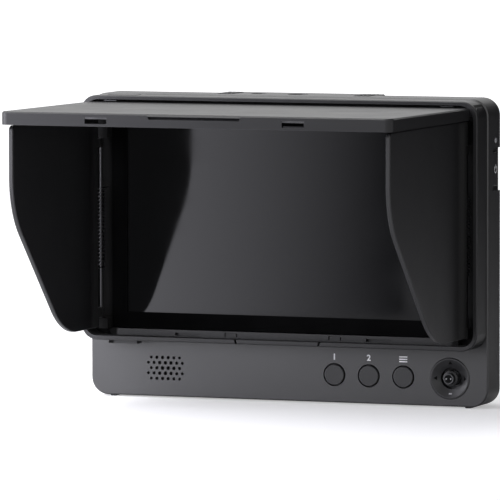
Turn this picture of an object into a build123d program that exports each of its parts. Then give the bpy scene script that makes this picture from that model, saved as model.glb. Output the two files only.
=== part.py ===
from build123d import *
from math import cos, hypot, pi, sin, sqrt
import os

# Camera field monitor with a clip-on folding sun hood.
# Millimetres. X is to the right of the screen, Y runs to the back, Z is up.
# The origin is the mouth of the tripod socket in the bottom face.

# ---- housing --------------------------------------------------------------
BODY_WIDTH = 128.4
BODY_HEIGHT = 92.6
BODY_CORNER = 5.3
SOCKET_SETBACK = 9.5
SHELL_DEPTH = 9.7
RIM_DEPTH = 1.4
BULGE_DEPTH = 8.6
BULGE_SET = 5.7
BULGE_LOW = 8.0
BULGE_DROP = 7.6
BULGE_CORNER = 8.0
BULGE_TAPER = 12.0
SADDLE_WIDTH = 49.2
WALL = 2.0
EDGE_ROUND = 0.4
BULGE_ROUND = 2.0

FRONT = -SOCKET_SETBACK
SEAM = FRONT + SHELL_DEPTH
RIM_BACK = SEAM + RIM_DEPTH
BACK = RIM_BACK + BULGE_DEPTH
SIDE = BODY_WIDTH / 2
BULGE_HALF = SIDE - BULGE_SET
BULGE_HIGH = BODY_HEIGHT - BULGE_DROP

# ---- fits -----------------------------------------------------------------
RUN_FIT = 0.05
SEAT_FIT = 0.05
SLIDE_GAP = 0.15
MOVE_GAP = 0.3
PAST = 1.0  # how far a cutter runs past the face it opens
PIN_SIDES = 12  # pins, and the bosses and knuckles that hold a pin or a screw
POST_SIDES = 8  # hidden posts and stems

# ---- display --------------------------------------------------------------
BEZEL_SET = 8.15
BEZEL_DROP = 4.3
BEZEL_BORDER = 4.85
BEZEL_BOTTOM = 21.0
BEZEL_CORNER = 1.0
DISPLAY_PROUD = 2.9
BEZEL_LIP = 0.5
GLASS_THICKNESS = 1.0
LCD_THICKNESS = 1.4
BACKLIGHT_THICKNESS = 3.2
PANE_LEDGE = 1.2
BEZEL_FLANGE = 1.2
BEZEL_CHAMFER = 0.15

BEZEL_WIDTH = BODY_WIDTH - 2 * BEZEL_SET
BEZEL_TOP = BODY_HEIGHT - BEZEL_DROP
SCREEN_Z = (BEZEL_BOTTOM + BEZEL_TOP) / 2
ACTIVE_WIDTH = BEZEL_WIDTH - 2 * BEZEL_BORDER
ACTIVE_HEIGHT = BEZEL_TOP - BEZEL_BOTTOM - 2 * BEZEL_BORDER
BEZEL_FRONT = FRONT - DISPLAY_PROUD
GLASS_FRONT = BEZEL_FRONT + BEZEL_LIP
LCD_FRONT = GLASS_FRONT + GLASS_THICKNESS
BACKLIGHT_FRONT = LCD_FRONT + LCD_THICKNESS
BEZEL_BACK = BACKLIGHT_FRONT + BACKLIGHT_THICKNESS

# ---- control strip --------------------------------------------------------
CONTROL_Z = 8.45
STICK_FROM_BUTTONS = 14.9
BUTTON_PITCH = 11.05
BUTTON_RADIUS = 3.15
BUTTON_GAP = 0.4
BUTTON_PROUD = 0.35
BUTTON_FLANGE = 4.1
BUTTON_FLANGE_THICKNESS = 0.8
BUTTON_TRAVEL = 0.5
BUTTON_CROWN = 0.25
SPEAKER_SET = 24.35
SPEAKER_Z = 8.68
SPEAKER_PITCH = 1.86
SPEAKER_ROW_COUNTS = (6, 7, 6, 7, 6)
SPEAKER_HOLE_MIDDLE = 0.6
SPEAKER_HOLE_EDGE = 0.44
SPEAKER_HOLE_SIDES = 8
SPEAKER_WIDTH = 20.0
SPEAKER_HEIGHT = 12.0
SPEAKER_DEPTH = 4.5
SPEAKER_RIM = 1.0
SPEAKER_DISH = 1.2

# ---- joystick -------------------------------------------------------------
STICK_SET = 12.0
STICK_RING_RADIUS = 6.3
STICK_RING_PROUD = 0.25
STICK_DISH_RADIUS = 5.7
STICK_DISH_DEPTH = 1.3
STICK_WELL_RADIUS = 3.25
STICK_BASE_SIZE = 11.0
STICK_BASE_SET = 0.6
STICK_CUP_FLOOR = 0.8
STICK_CUP_RADIUS = 3.9
STICK_PIVOT_DEPTH = 4.6
GIMBAL_RADIUS = 3.4
GIMBAL_BORE = 2.4
GIMBAL_THICKNESS = 1.4
PIVOT_RADIUS = 0.4
PIVOT_REACH = 0.6
STICK_HUB_RADIUS = 1.9
STICK_HUB_THICKNESS = 1.2
STEM_RADIUS = 0.9
STEM_LENGTH = 3.2
CAP_SKIRT = 1.45
CAP_FLANGE = 2.3
CAP_TIP = 1.75
CAP_TIP_STEP = 0.3
CAP_FOOT_FRONT = 0.35
CAP_FOOT_BACK = 1.1
CAP_PROUD = 1.3
CAP_TRAVEL = 0.4

# ---- boards ---------------------------------------------------------------
MAIN_BOARD_THICKNESS = 0.8
MAIN_BOARD_SET = 1.7
MAIN_BOARD_LOW = 17.5
MAIN_BOARD_GAP = 0.6
KEY_BOARD_DEPTH = 7.0
KEY_BOARD_THICKNESS = 0.8
KEY_BOARD_MARGIN = 5.8
KEY_BOARD_LOW = 2.6
KEY_BOARD_HIGH = 15.4
KEY_POST_MARGIN = 2.8
KEY_POST_Z = 5.5
KEY_POST_RADIUS = 1.5
SWITCH_SIZE = 3.6
SWITCH_STEM_RADIUS = 1.2
SWITCH_STEM_LENGTH = 1.4

# ---- tripod sockets and grips ---------------------------------------------
THREAD_RADIUS = 2.7
THREAD_DEPTH = 7.0
THREAD_MOUTH = 3.25
INSERT_RADIUS = 5.5
INSERT_HEIGHT = 8.5
PIN_HOLE_RADIUS = 2.45
PIN_HOLE_DEPTH = 4.0
PIN_HOLE_OFFSET = 12.8
TOP_BLOCK_MARGIN = 5.0
TOP_BLOCK_DEPTH = 5.0
TOP_BLOCK_HEIGHT = 7.5
GRIP_WIDTH = 5.2
GRIP_RIBS = 4
GRIP_HEIGHT = 0.2
GRIP_LENGTH = 10.0
GRIP_FRONT = -5.0
FOOT_SET = 6.7
FOOT_Y = -4.5
FOOT_WIDTH = 1.6
FOOT_LENGTH = 8.0
FOOT_HEIGHT = 0.45

# ---- side sockets, on the left wall ---------------------------------------
PORT_DEPTH = 6.05
HDMI_DROP = 26.6
HDMI_WIDTH = 15.0
HDMI_THICKNESS = 5.5
HDMI_LENGTH = 10.5
HDMI_WALL = 0.5
HDMI_CORNER = 1.0
HDMI_TONGUE = 1.2
USB_DROP = 18.0
USB_WIDTH = 8.9
USB_THICKNESS = 3.2
USB_LENGTH = 7.4
USB_WALL = 0.35
USB_TONGUE = 0.7
JACK_DROP = 14.0
JACK_RADIUS = 1.8
JACK_DEPTH = 9.0
JACK_COLLAR = 2.9
JACK_BODY = 5.6
JACK_LENGTH = 11.0
PORT_SINK = 0.3
PORT_CLEAR = 0.1

# ---- power slide, on the right wall ---------------------------------------
SLIDE_DROP = 14.9
SLIDE_LENGTH = 12.9
SLIDE_SETBACK = 4.5
SLIDE_RECESS = 1.2
SLIDE_REAR_LIP = 0.8
SLIDE_REAR_DROP = 0.6
SLIDE_KNOB_HEIGHT = 10.3
SLIDE_KNOB_THICKNESS = 0.75
SLIDE_TRAVEL = 2.0
SLIDE_STEM = 1.4
SLIDE_SWITCH_DEPTH = 4.2
LAMP_LIFT = 2.25
LAMP_RADIUS = 0.8
LAMP_PROUD = 0.15

# ---- battery bay, on the back ---------------------------------------------
BAY_WIDTH = 41.6
BAY_DROP = 12.1
BAY_DEPTH = 4.0
PLATE_SIDE_GAP = 1.5
PLATE_LOW = 12.0
PLATE_DROP = 4.5
PLATE_THICKNESS = 1.4
HOOK_HEIGHT = 2.4
HOOK_WALL = 1.6
HOOK_LIP = 1.2
HOOK_LIP_THICKNESS = 0.9
HOOK_LENGTH = 9.0
HOOK_SET = 14.0
HOOK_TOP_SET = 16.0
CONTACT_WIDTH = 20.0
CONTACT_HEIGHT = 5.0
CONTACT_BLOCK = 1.0
BLADE_PROUD = 1.2
CONTACT_SET = 2.0
BLADE_COUNT = 4
BLADE_PITCH = 4.4
BLADE_THICKNESS = 0.6
LATCH_WIDTH = 12.0
LATCH_HEIGHT = 5.5
LATCH_DEPTH = 3.4
LATCH_PROUD = 1.0
LATCH_WING = 1.0
LATCH_WING_THICKNESS = 1.0
LATCH_TOOTH = 1.5
LATCH_TOOTH_WIDTH = 5.0
LATCH_TRAVEL = 2.2
LATCH_SPRING_CLOSED = 2.1
LATCH_COIL_RADIUS = 0.9
LATCH_WIRE = 0.2
LATCH_TURNS = 5
LATCH_GAP = 0.2
VENT_COUNT = 7
VENT_PITCH = 3.2
VENT_WIDTH = 1.2
VENT_LENGTH = 16.0
VENT_SET = 18.5
VENT_DROP = 27.0

# ---- case screws ----------------------------------------------------------
SCREW_INSET = 3.9
SCREW_RADIUS = 0.8
SCREW_HEAD_RADIUS = 1.6
SCREW_HEAD = 0.7
SCREW_LENGTH = 6.0
BOSS_RADIUS = 1.9

# ---- hood frame -----------------------------------------------------------
FRAME_INSET = 0.35
FRAME_FOOT = 3.45
FRAME_DEPTH = 8.96
FRAME_WALL = 1.2
FRAME_LIP = 1.3
FRAME_CORNER = 5.0
FRAME_TOP_BORE = 4.5
FRAME_LOW_BORE = 3.7
FRAME_EDGE = 0.3
WEB_THICKNESS = 1.8
LEDGE_DEPTH = 4.0
CATCH_X = 30.9
CATCH_WIDTH = 8.2
CATCH_LIFT = 1.55
CATCH_HEIGHT = 0.9
CATCH_DEPTH = 1.2
TAB_X = 16.8
TAB_SIZE = 4.1
TAB_SLIT = 0.35
TAB_DEPTH = 0.6
TONGUE_HALF = 13.4
TONGUE_SLIT = 0.7
TONGUE_SLANT = 1.0
CLAW_SET = 13.0
CLAW_HEIGHT = 6.0
CLAW_THICKNESS = 1.2
CLAW_LENGTH = 1.6
CLIP_SET = 13.0
CLIP_WIDTH = 9.2
CLIP_DROP = 1.1
CLIP_LENGTH = 4.0
CLIP_SETBACK = 2.5
CLIP_GAP = 0.2
CLIP_PROUD = 0.1

# ---- lid ------------------------------------------------------------------
LID_SIDE_GAP = 1.25
LID_NECK_GAP = 2.5
LID_TOP_GAP = 0.83
LID_RISE = 0.4
LID_PLATE = 1.4
LID_RIM = 3.55
LID_RIM_WALL = 1.2
LID_SIDE_WALL = 0.7
LID_CORNER = 2.25
LID_EDGE = 0.4
LID_HINGE_DEPTH = 7.2
LID_HINGE_DROP = 1.32
LID_TAIL = 1.2
LID_TAIL_SET = 2.65
LID_EAR_WIDTH = 2.0
LID_EAR_RADIUS = 1.3
LID_PIN_RADIUS = 0.5
LID_PIN_SEAT = 0.4
LID_BOSS_RADIUS = 1.2
LID_TIP_GAP = 0.35
LID_WINDOW_WIDTH = 6.9
LID_WINDOW_HEIGHT = 1.9
LID_WINDOW_DROP = 1.3
LID_CATCH_SET = 0.15
LID_CATCH_THICKNESS = 0.45
THUMB_HALF = 14.85
THUMB_SLANT = 0.75
THUMB_SCOOP = 0.65
THUMB_LIP = 0.15
THUMB_SLOT = 0.85
THUMB_DEPTH = 1.1
THUMB_FOOT = 0.3
LEAF_SIDE = 1.2
LEAF_WIDTH = 4.1
LEAF_THICKNESS = 0.2
LEAF_SET = 0.1
LEAF_LIFT = 0.38

# ---- side flaps -----------------------------------------------------------
FLAP_SET = 1.6
FLAP_THICKNESS = 1.4
FLAP_EDGE = 0.25
FLAP_TOP_GAP = 0.37
FLAP_LOW_GAP = 0.45
FLAP_SHORT = 2.8
FLAP_FRONT_HEIGHT = 25.7
FLAP_DIAGONAL_BACK = 35.4
FLAP_CURVE = 25.0
FLAP_TOP_CORNER = 1.5
FLAP_PIN_SET = 1.15
RIGHT_PIN_DEPTH = 3.5
LEFT_PIN_DEPTH = 5.5
FLAP_PIN_RADIUS = 0.4
FLAP_SETBACK = 3.0
FLAP_OVERLAP = 1.2
BUSH_RADIUS = 0.8
BUSH_GAP = 0.2
UPPER_BUSH_SET = 7.4
UPPER_BUSH_LENGTH = 2.7
LOWER_BUSH_SET = 3.0
LOWER_BUSH_LENGTH = 3.0
PIN_BLOCK_OUTER = 0.6
PIN_BLOCK_INNER = 2.35
PIN_BLOCK_PROUD = 0.7
PIN_SEAT = 0.8
PIN_BLOCK_DROP = 0.4
COIL_SET = 18.2
COIL_TURNS = 21
COIL_PITCH = 1.16
COIL_RADIUS = 0.88
COIL_WIRE = 0.2
COIL_LEG = 4.5
COIL_STEPS = 6
COIL_SIDES = 3

STICK_X = SIDE - STICK_SET
BUTTON_LAST_X = STICK_X - STICK_FROM_BUTTONS
BUTTON_FIRST_X = BUTTON_LAST_X - 2 * BUTTON_PITCH
SPEAKER_X = SPEAKER_SET - SIDE
HDMI_Z = BODY_HEIGHT - HDMI_DROP
USB_Z = HDMI_Z - USB_DROP
JACK_Z = USB_Z - JACK_DROP
SLIDE_HIGH = BODY_HEIGHT - SLIDE_DROP
SLIDE_LOW = SLIDE_HIGH - SLIDE_LENGTH
SLIDE_MIDDLE = (SLIDE_LOW + SLIDE_HIGH) / 2
LAMP_Z = SLIDE_HIGH + LAMP_LIFT
BAY_HIGH = BODY_HEIGHT - BAY_DROP
PLATE_WIDTH = BAY_WIDTH - 2 * PLATE_SIDE_GAP
PLATE_HIGH = BAY_HIGH - PLATE_DROP
HOOK_Z = (PLATE_LOW + HOOK_SET, PLATE_HIGH - HOOK_TOP_SET)
FRAME_BOTTOM = BEZEL_BOTTOM - FRAME_FOOT
FRAME_FRONT = FRONT - FRAME_DEPTH
FRAME_HALF = SIDE - FRAME_INSET
FRAME_TOP = BODY_HEIGHT - FRAME_INSET
FRAME_INNER_HALF = FRAME_HALF - FRAME_WALL
FRAME_INNER_TOP = FRAME_TOP - FRAME_WALL
FRAME_INNER_LOW = FRAME_BOTTOM + FRAME_LIP
WEB_FRONT = FRONT - WEB_THICKNESS
LEDGE_FRONT = FRONT - LEDGE_DEPTH
LEDGE_TOP = BEZEL_BOTTOM - SLIDE_GAP
LEDGE_HALF = BEZEL_WIDTH / 2 + SLIDE_GAP
CLAW_Z = (BEZEL_BOTTOM + CLAW_SET, BEZEL_TOP - CLAW_SET)
CLIP_X = CLIP_SET - SIDE
CATCH_LOW = FRAME_BOTTOM + CATCH_LIFT
LID_HALF = FRAME_INNER_HALF - LID_SIDE_GAP
LID_NECK_HALF = FRAME_INNER_HALF - LID_NECK_GAP
LID_TOP = FRAME_INNER_TOP - LID_TOP_GAP
LID_CREST = LID_TOP + LID_RISE
LID_HINGE_Y = FRONT - LID_HINGE_DEPTH
LID_HINGE_Z = LID_TOP - LID_HINGE_DROP
LID_TAIL_HALF = LID_NECK_HALF - LID_TAIL_SET
LEAF_OUTER = LID_TAIL_HALF - LEAF_SIDE
LEAF_Z = LID_TOP + LEAF_LIFT
LID_REACH = LID_HINGE_Z - FRAME_INNER_LOW - LID_TIP_GAP
LID_FRONT = LID_HINGE_Y - LID_REACH
LID_BOTTOM = LID_TOP - LID_RIM
FLAP_OUTER = LID_HALF - FLAP_SET
FLAP_TOP = LID_BOTTOM - FLAP_TOP_GAP
FLAP_BOTTOM = LEDGE_TOP + FLAP_LOW_GAP
FLAP_FRONT = LID_FRONT + FLAP_SHORT
FLAP_PIN_X = FLAP_OUTER - FLAP_PIN_SET
UPPER_BUSH = (FLAP_TOP - UPPER_BUSH_SET - UPPER_BUSH_LENGTH, FLAP_TOP - UPPER_BUSH_SET)
LOWER_BUSH = (FLAP_BOTTOM + LOWER_BUSH_SET, FLAP_BOTTOM + LOWER_BUSH_SET + LOWER_BUSH_LENGTH)
PIN_BLOCK_TOP = FLAP_TOP - PIN_BLOCK_DROP
COIL_LOW = FLAP_BOTTOM + COIL_SET
FLAP_PIN_Y = {1: FRONT - RIGHT_PIN_DEPTH, -1: FRONT - LEFT_PIN_DEPTH}
STICK_PIVOT_Y = FRONT + STICK_PIVOT_DEPTH
KEY_BOARD_Y = FRONT + KEY_BOARD_DEPTH
PORT_Y = FRONT + PORT_DEPTH
MAIN_BOARD_Y = SEAM - SEAT_FIT - MAIN_BOARD_THICKNESS
SLIDE_Y = FRONT + SLIDE_SETBACK
BAY_FLOOR = BACK - BAY_DEPTH
LATCH_ROOM = LATCH_SPRING_CLOSED + LATCH_TRAVEL
TOP_BLOCK_TOP = BODY_HEIGHT - WALL
TOP_BLOCK_LOW = TOP_BLOCK_TOP - TOP_BLOCK_HEIGHT
MAIN_BOARD_HIGH = TOP_BLOCK_LOW - MAIN_BOARD_GAP
MAIN_BOARD_HALF = SIDE - WALL - MAIN_BOARD_SET


# ---- shared shapes --------------------------------------------------------
def slab(x0, x1, y0, y1, z0, z1):
    """A box between two corners."""
    centre = ((x0 + x1) / 2, (y0 + y1) / 2, (z0 + z1) / 2)
    return Pos(*centre) * Box(abs(x1 - x0), abs(y1 - y0), abs(z1 - z0))


def upright(y):
    """A plane at depth y that looks forward, with its own axes along X and Z."""
    return Plane(origin=(0, y, 0), x_dir=(1, 0, 0), z_dir=(0, -1, 0))


def plaque(width, z0, z1, corner, y0, y1, x=0.0):
    """A plate with rounded corners, seen square from the front."""
    outline = Pos(x, (z0 + z1) / 2) * RectangleRounded(width, z1 - z0, corner)
    return extrude(upright(y1) * outline, amount=y1 - y0)


def rod_x(y, z, radius, x0, x1):
    return Pos((x0 + x1) / 2, y, z) * Rot(0, 90, 0) * Cylinder(radius, abs(x1 - x0))


def rod_y(x, z, radius, y0, y1):
    return Pos(x, (y0 + y1) / 2, z) * Rot(90, 0, 0) * Cylinder(radius, abs(y1 - y0))


def rod_z(x, y, radius, z0, z1):
    return Pos(x, y, (z0 + z1) / 2) * Cylinder(radius, abs(z1 - z0))


def prism_x(y, z, radius, x0, x1, sides):
    """A bar along X with flat sides that stand at least radius from its axis."""
    outline = RegularPolygon(radius, sides, major_radius=False)
    return extrude(Plane(origin=(min(x0, x1), y, z), x_dir=(0, 1, 0), z_dir=(1, 0, 0)) * outline,
                   amount=abs(x1 - x0))


def prism_y(x, z, radius, y0, y1, sides):
    outline = RegularPolygon(radius, sides, major_radius=False)
    return extrude(upright(y1) * Pos(x, z) * outline, amount=y1 - y0)


def prism_z(x, y, radius, z0, z1, sides):
    outline = RegularPolygon(radius, sides, major_radius=False)
    return extrude(Plane(origin=(x, y, z0)) * outline, amount=z1 - z0)


def turned_y(x, z, profile):
    """A turned piece on an axis along Y, from (radius, depth) points."""
    plane = Plane(origin=(x, 0, z), x_dir=(1, 0, 0), z_dir=(0, 0, 1))
    face = plane * make_face(Polyline(*profile, close=True))
    return revolve(face, axis=Axis((x, 0, z), (0, 1, 0)))


def joined(pieces):
    """One shape out of several that touch or overlap."""
    pieces = list(pieces)
    return pieces[0].fuse(*pieces[1:]) if len(pieces) > 1 else pieces[0]


# ---- where things repeat --------------------------------------------------
def button_places():
    return [BUTTON_FIRST_X + n * BUTTON_PITCH for n in range(3)]


def key_board_span():
    """Where the key board starts and ends along X: a margin past the first button and the stick."""
    return BUTTON_FIRST_X - BUTTON_FLANGE - KEY_POST_MARGIN, STICK_X + KEY_BOARD_MARGIN


def key_post_places():
    left, right = key_board_span()
    return (left + KEY_POST_MARGIN, BUTTON_FIRST_X + 1.5 * BUTTON_PITCH, right - KEY_POST_MARGIN)


def screw_places():
    low, high = SCREW_INSET, BODY_HEIGHT - SCREW_INSET
    reach = SIDE - SCREW_INSET
    return [(x, z) for x in (-reach, reach) for z in (low, high)]


def speaker_holes():
    """Staggered rows of holes that shrink towards the rim of the group."""
    row_step = SPEAKER_PITCH * sqrt(3) / 2
    middle = (len(SPEAKER_ROW_COUNTS) - 1) / 2
    farthest = (max(SPEAKER_ROW_COUNTS) - 1) / 2 * SPEAKER_PITCH
    for row, count in enumerate(SPEAKER_ROW_COUNTS):
        dz = (middle - row) * row_step
        for n in range(count):
            dx = (n - (count - 1) / 2) * SPEAKER_PITCH
            share = min(hypot(dx, dz) / farthest, 1)
            radius = SPEAKER_HOLE_MIDDLE + (SPEAKER_HOLE_EDGE - SPEAKER_HOLE_MIDDLE) * share
            yield SPEAKER_X + dx, SPEAKER_Z + dz, radius


def claw_blocks(gap, length):
    """Blocks for the hood's claws, or with a gap for the pockets that take them."""
    middle = (FRAME_INNER_HALF + BEZEL_WIDTH / 2) / 2
    half = CLAW_THICKNESS / 2 + gap
    tall = CLAW_HEIGHT / 2 + gap
    return [
        slab(side * middle - half, side * middle + half, FRONT, FRONT + length, z - tall, z + tall)
        for side in (-1, 1)
        for z in CLAW_Z
    ]


def socket_cutters():
    """Everything that the two tripod sockets take out of the housing."""
    return [
        rod_z(0, 0, INSERT_RADIUS + SEAT_FIT, -PAST, INSERT_HEIGHT + SEAT_FIT),
        rod_z(0, 0, THREAD_MOUTH, TOP_BLOCK_TOP - PAST, BODY_HEIGHT + PAST),
        rod_z(-PIN_HOLE_OFFSET, 0, PIN_HOLE_RADIUS, TOP_BLOCK_TOP - PAST, BODY_HEIGHT + PAST),
    ]


def slide_recess():
    """The sunk track of the power slide, with a lower lip left at the back of the side wall."""
    track = slab(SIDE - SLIDE_RECESS, SIDE + PAST, SLIDE_Y, RIM_BACK - SLIDE_REAR_LIP, SLIDE_LOW, SLIDE_HIGH)
    lip = slab(SIDE - SLIDE_REAR_DROP, SIDE + PAST, SLIDE_Y, RIM_BACK + PAST, SLIDE_LOW, SLIDE_HIGH)
    return track + lip


def slide_slot():
    half = (SLIDE_STEM + SLIDE_TRAVEL) / 2 + MOVE_GAP
    y = slide_stem_y()
    return slab(SIDE - WALL - PAST, SIDE, y - SLIDE_STEM / 2 - MOVE_GAP, y + SLIDE_STEM / 2 + MOVE_GAP,
                SLIDE_MIDDLE - half, SLIDE_MIDDLE + half)


def slide_stem_y():
    return (SLIDE_Y + SEAM) / 2


def port_cutters():
    """The three holes of the left wall, each as large as its socket and a gap."""
    deep = (-SIDE - PAST, -SIDE + WALL + PAST)
    hdmi = slab(*deep, PORT_Y - HDMI_THICKNESS / 2 - PORT_CLEAR, PORT_Y + HDMI_THICKNESS / 2 + PORT_CLEAR,
                HDMI_Z - HDMI_WIDTH / 2 - PORT_CLEAR, HDMI_Z + HDMI_WIDTH / 2 + PORT_CLEAR)
    return [hdmi, usb_oval(PORT_CLEAR, *deep), rod_x(PORT_Y, JACK_Z, JACK_COLLAR + PORT_CLEAR, *deep)]


def usb_oval(grow, x0, x1):
    """The slot with round ends of the power socket, grown by a gap or shrunk by a wall."""
    radius = USB_THICKNESS / 2 + grow
    reach = (USB_WIDTH - USB_THICKNESS) / 2
    ends = [rod_x(PORT_Y, USB_Z + end * reach, radius, x0, x1) for end in (-1, 1)]
    return joined(ends + [slab(x0, x1, PORT_Y - radius, PORT_Y + radius, USB_Z - reach, USB_Z + reach)])


def latch_track(gap):
    """The T-shaped track of the battery latch, from the bay up to its spring."""
    top = BAY_HIGH + LATCH_HEIGHT + LATCH_ROOM
    floor = BACK - LATCH_DEPTH
    wings = LATCH_WIDTH / 2 + LATCH_WING + gap
    low = slab(-wings, wings, floor, floor + LATCH_WING_THICKNESS + 2 * gap, BAY_HIGH - PAST, top)
    mouth = LATCH_WIDTH / 2 + gap
    high = slab(-mouth, mouth, floor, BACK + PAST, BAY_HIGH - PAST, top)
    return joined([low, high])


def top_block_box(gap):
    """The room that the top socket block takes under the top wall."""
    return slab(-PIN_HOLE_OFFSET - TOP_BLOCK_MARGIN - gap, TOP_BLOCK_MARGIN + gap, -TOP_BLOCK_DEPTH - gap,
                TOP_BLOCK_DEPTH + gap, TOP_BLOCK_LOW - gap, TOP_BLOCK_TOP + gap)


# ---- housing --------------------------------------------------------------
def front_shell():
    """The moulded front: control strip, speaker grille, display opening and side walls."""
    outer = plaque(BODY_WIDTH, 0, BODY_HEIGHT, BODY_CORNER, FRONT, SEAM)
    outer = chamfer(outer.faces().sort_by(Axis.Y)[0].edges(), EDGE_ROUND)
    hollow = plaque(BODY_WIDTH - 2 * WALL, WALL, BODY_HEIGHT - WALL, BODY_CORNER - WALL, FRONT + WALL,
                    SEAM + PAST)
    bosses = [prism_y(x, z, BOSS_RADIUS, FRONT + WALL, SEAM, POST_SIDES) for x, z in screw_places()]
    through = (FRONT - PAST, FRONT + WALL + PAST)
    cuts = [plaque(BEZEL_WIDTH + 2 * SEAT_FIT, BEZEL_BOTTOM - SEAT_FIT, BEZEL_TOP + SEAT_FIT,
                   BEZEL_CORNER + SEAT_FIT, *through)]
    cuts += [rod_y(x, CONTROL_Z, BUTTON_RADIUS + BUTTON_GAP, *through) for x in button_places()]
    cuts += [rod_y(STICK_X, CONTROL_Z, STICK_RING_RADIUS + SEAT_FIT, *through)]
    cuts += [prism_y(x, z, radius, *through, SPEAKER_HOLE_SIDES) for x, z, radius in speaker_holes()]
    cuts += claw_blocks(SLIDE_GAP, WALL + PAST)
    cuts += socket_cutters() + port_cutters()
    cuts += [slide_recess(), slide_slot()]
    cuts += [prism_x(slide_stem_y(), LAMP_Z, LAMP_RADIUS + SEAT_FIT, SIDE - WALL - PAST, SIDE + PAST,
                     PIN_SIDES)]
    cuts += [prism_y(x, z, SCREW_RADIUS + RUN_FIT, SEAM - SCREW_LENGTH, SEAM + PAST, POST_SIDES)
             for x, z in screw_places()]
    return joined([outer - hollow] + bosses) - cuts


def bulge(inset, back):
    """The tapered block of the back cover, or the hollow inside it."""
    low, high = BULGE_LOW + inset, BULGE_HIGH - inset
    plane = Plane(origin=(0, SEAM, (low + high) / 2), x_dir=(1, 0, 0), z_dir=(0, 1, 0))
    outline = plane * RectangleRounded(2 * (BULGE_HALF - inset), high - low, BULGE_CORNER - inset)
    return extrude(outline, amount=back - SEAM, taper=BULGE_TAPER)


def rear_cover():
    """The back: a flat rim, a tapered bulge, a saddle for the sockets, and the battery bay."""
    rim = plaque(BODY_WIDTH, 0, BODY_HEIGHT, BODY_CORNER, SEAM, RIM_BACK)
    saddle = slab(-SADDLE_WIDTH / 2, SADDLE_WIDTH / 2, SEAM, BACK, 0, BODY_HEIGHT)
    saddle = fillet(saddle.edges().filter_by(Axis.X).group_by(Axis.Y)[-1], BULGE_ROUND)
    posts = [prism_y(x, KEY_POST_Z, KEY_POST_RADIUS, KEY_BOARD_Y + KEY_BOARD_THICKNESS + SEAT_FIT, SEAM,
                     POST_SIDES)
             for x in key_post_places()]
    bay = slab(-BAY_WIDTH / 2, BAY_WIDTH / 2, BAY_FLOOR, BACK + PAST, -PAST, BAY_HIGH)
    walls = slab(-BAY_WIDTH / 2 - WALL, BAY_WIDTH / 2 + WALL, BAY_FLOOR - WALL, BACK, 0, BODY_HEIGHT)
    step = slab(-SADDLE_WIDTH / 2 - PAST, SADDLE_WIDTH / 2 + PAST, BAY_FLOOR, BACK + PAST, -PAST, BULGE_LOW)
    vent_x, vent_low = BULGE_HALF - VENT_SET, BULGE_HIGH - VENT_DROP
    cuts = [bulge(WALL, BACK - WALL) - walls, bay, step, latch_track(LATCH_GAP), slide_recess()]
    cuts += [top_block_box(SEAT_FIT)] + socket_cutters()
    cuts += [slab(x - VENT_LENGTH / 2, x + VENT_LENGTH / 2, BACK - WALL - PAST, BACK + PAST,
                  vent_low + n * VENT_PITCH, vent_low + n * VENT_PITCH + VENT_WIDTH)
             for x in (-vent_x, vent_x) for n in range(VENT_COUNT)]
    for x, z in screw_places():
        cuts += [prism_y(x, z, SCREW_RADIUS + RUN_FIT, SEAM - PAST, RIM_BACK + PAST, POST_SIDES)]
        cuts += [prism_y(x, z, SCREW_HEAD_RADIUS + SEAT_FIT, RIM_BACK - SCREW_HEAD, RIM_BACK + PAST,
                         PIN_SIDES)]
    return joined([rim, bulge(0, BACK), saddle] + posts) - cuts


def case_screws():
    return joined([
        prism_y(x, z, SCREW_RADIUS, SEAM - SCREW_LENGTH + MOVE_GAP, RIM_BACK - SCREW_HEAD, POST_SIDES)
        + prism_y(x, z, SCREW_HEAD_RADIUS, RIM_BACK - SCREW_HEAD, RIM_BACK, PIN_SIDES)
        for x, z in screw_places()
    ])


def bottom_feet():
    half_x, half_y = FOOT_WIDTH / 2, FOOT_LENGTH / 2
    return joined([
        slab(x - half_x, x + half_x, FOOT_Y - half_y, FOOT_Y + half_y, -FOOT_HEIGHT, 0)
        for x in (FOOT_SET - SIDE, SIDE - FOOT_SET)
    ])


def top_grips():
    """Two ribbed pads on the saddle, either side of the top socket."""
    pieces = []
    for side in (-1, 1):
        outer = side * SADDLE_WIDTH / 2
        step = GRIP_WIDTH / GRIP_RIBS
        for n in range(GRIP_RIBS):
            middle = outer - side * (n + 0.5) * step
            pieces.append(slab(middle - step / 4, middle + step / 4, GRIP_FRONT, GRIP_FRONT + GRIP_LENGTH,
                               BODY_HEIGHT, BODY_HEIGHT + GRIP_HEIGHT))
    return joined(pieces)


# ---- display --------------------------------------------------------------
def display_bezel():
    """The black frame round the picture, with a ledge behind it and a flange behind the shell's wall."""
    body = plaque(BEZEL_WIDTH, BEZEL_BOTTOM, BEZEL_TOP, BEZEL_CORNER, BEZEL_FRONT, BEZEL_BACK)
    body = chamfer(body.faces().sort_by(Axis.Y)[0].edges(), BEZEL_CHAMFER)
    half = BEZEL_WIDTH / 2 + BEZEL_FLANGE
    flange = slab(-half, half, FRONT + WALL, BEZEL_BACK, BEZEL_BOTTOM - BEZEL_FLANGE,
                  BEZEL_TOP + BEZEL_FLANGE)
    window = screen_box(0, BEZEL_FRONT - PAST, BEZEL_BACK + PAST)
    pocket = screen_box(PANE_LEDGE + SEAT_FIT, GLASS_FRONT, BEZEL_BACK + PAST)
    return body + flange - window - pocket


def screen_box(grow, y0, y1):
    """The rectangle of the picture, grown on each side, as a block."""
    return slab(-ACTIVE_WIDTH / 2 - grow, ACTIVE_WIDTH / 2 + grow, y0, y1,
                SCREEN_Z - ACTIVE_HEIGHT / 2 - grow, SCREEN_Z + ACTIVE_HEIGHT / 2 + grow)


def cover_glass():
    return screen_box(PANE_LEDGE, GLASS_FRONT, LCD_FRONT)


def lcd_panel():
    return screen_box(PANE_LEDGE, LCD_FRONT, BACKLIGHT_FRONT)


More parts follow.
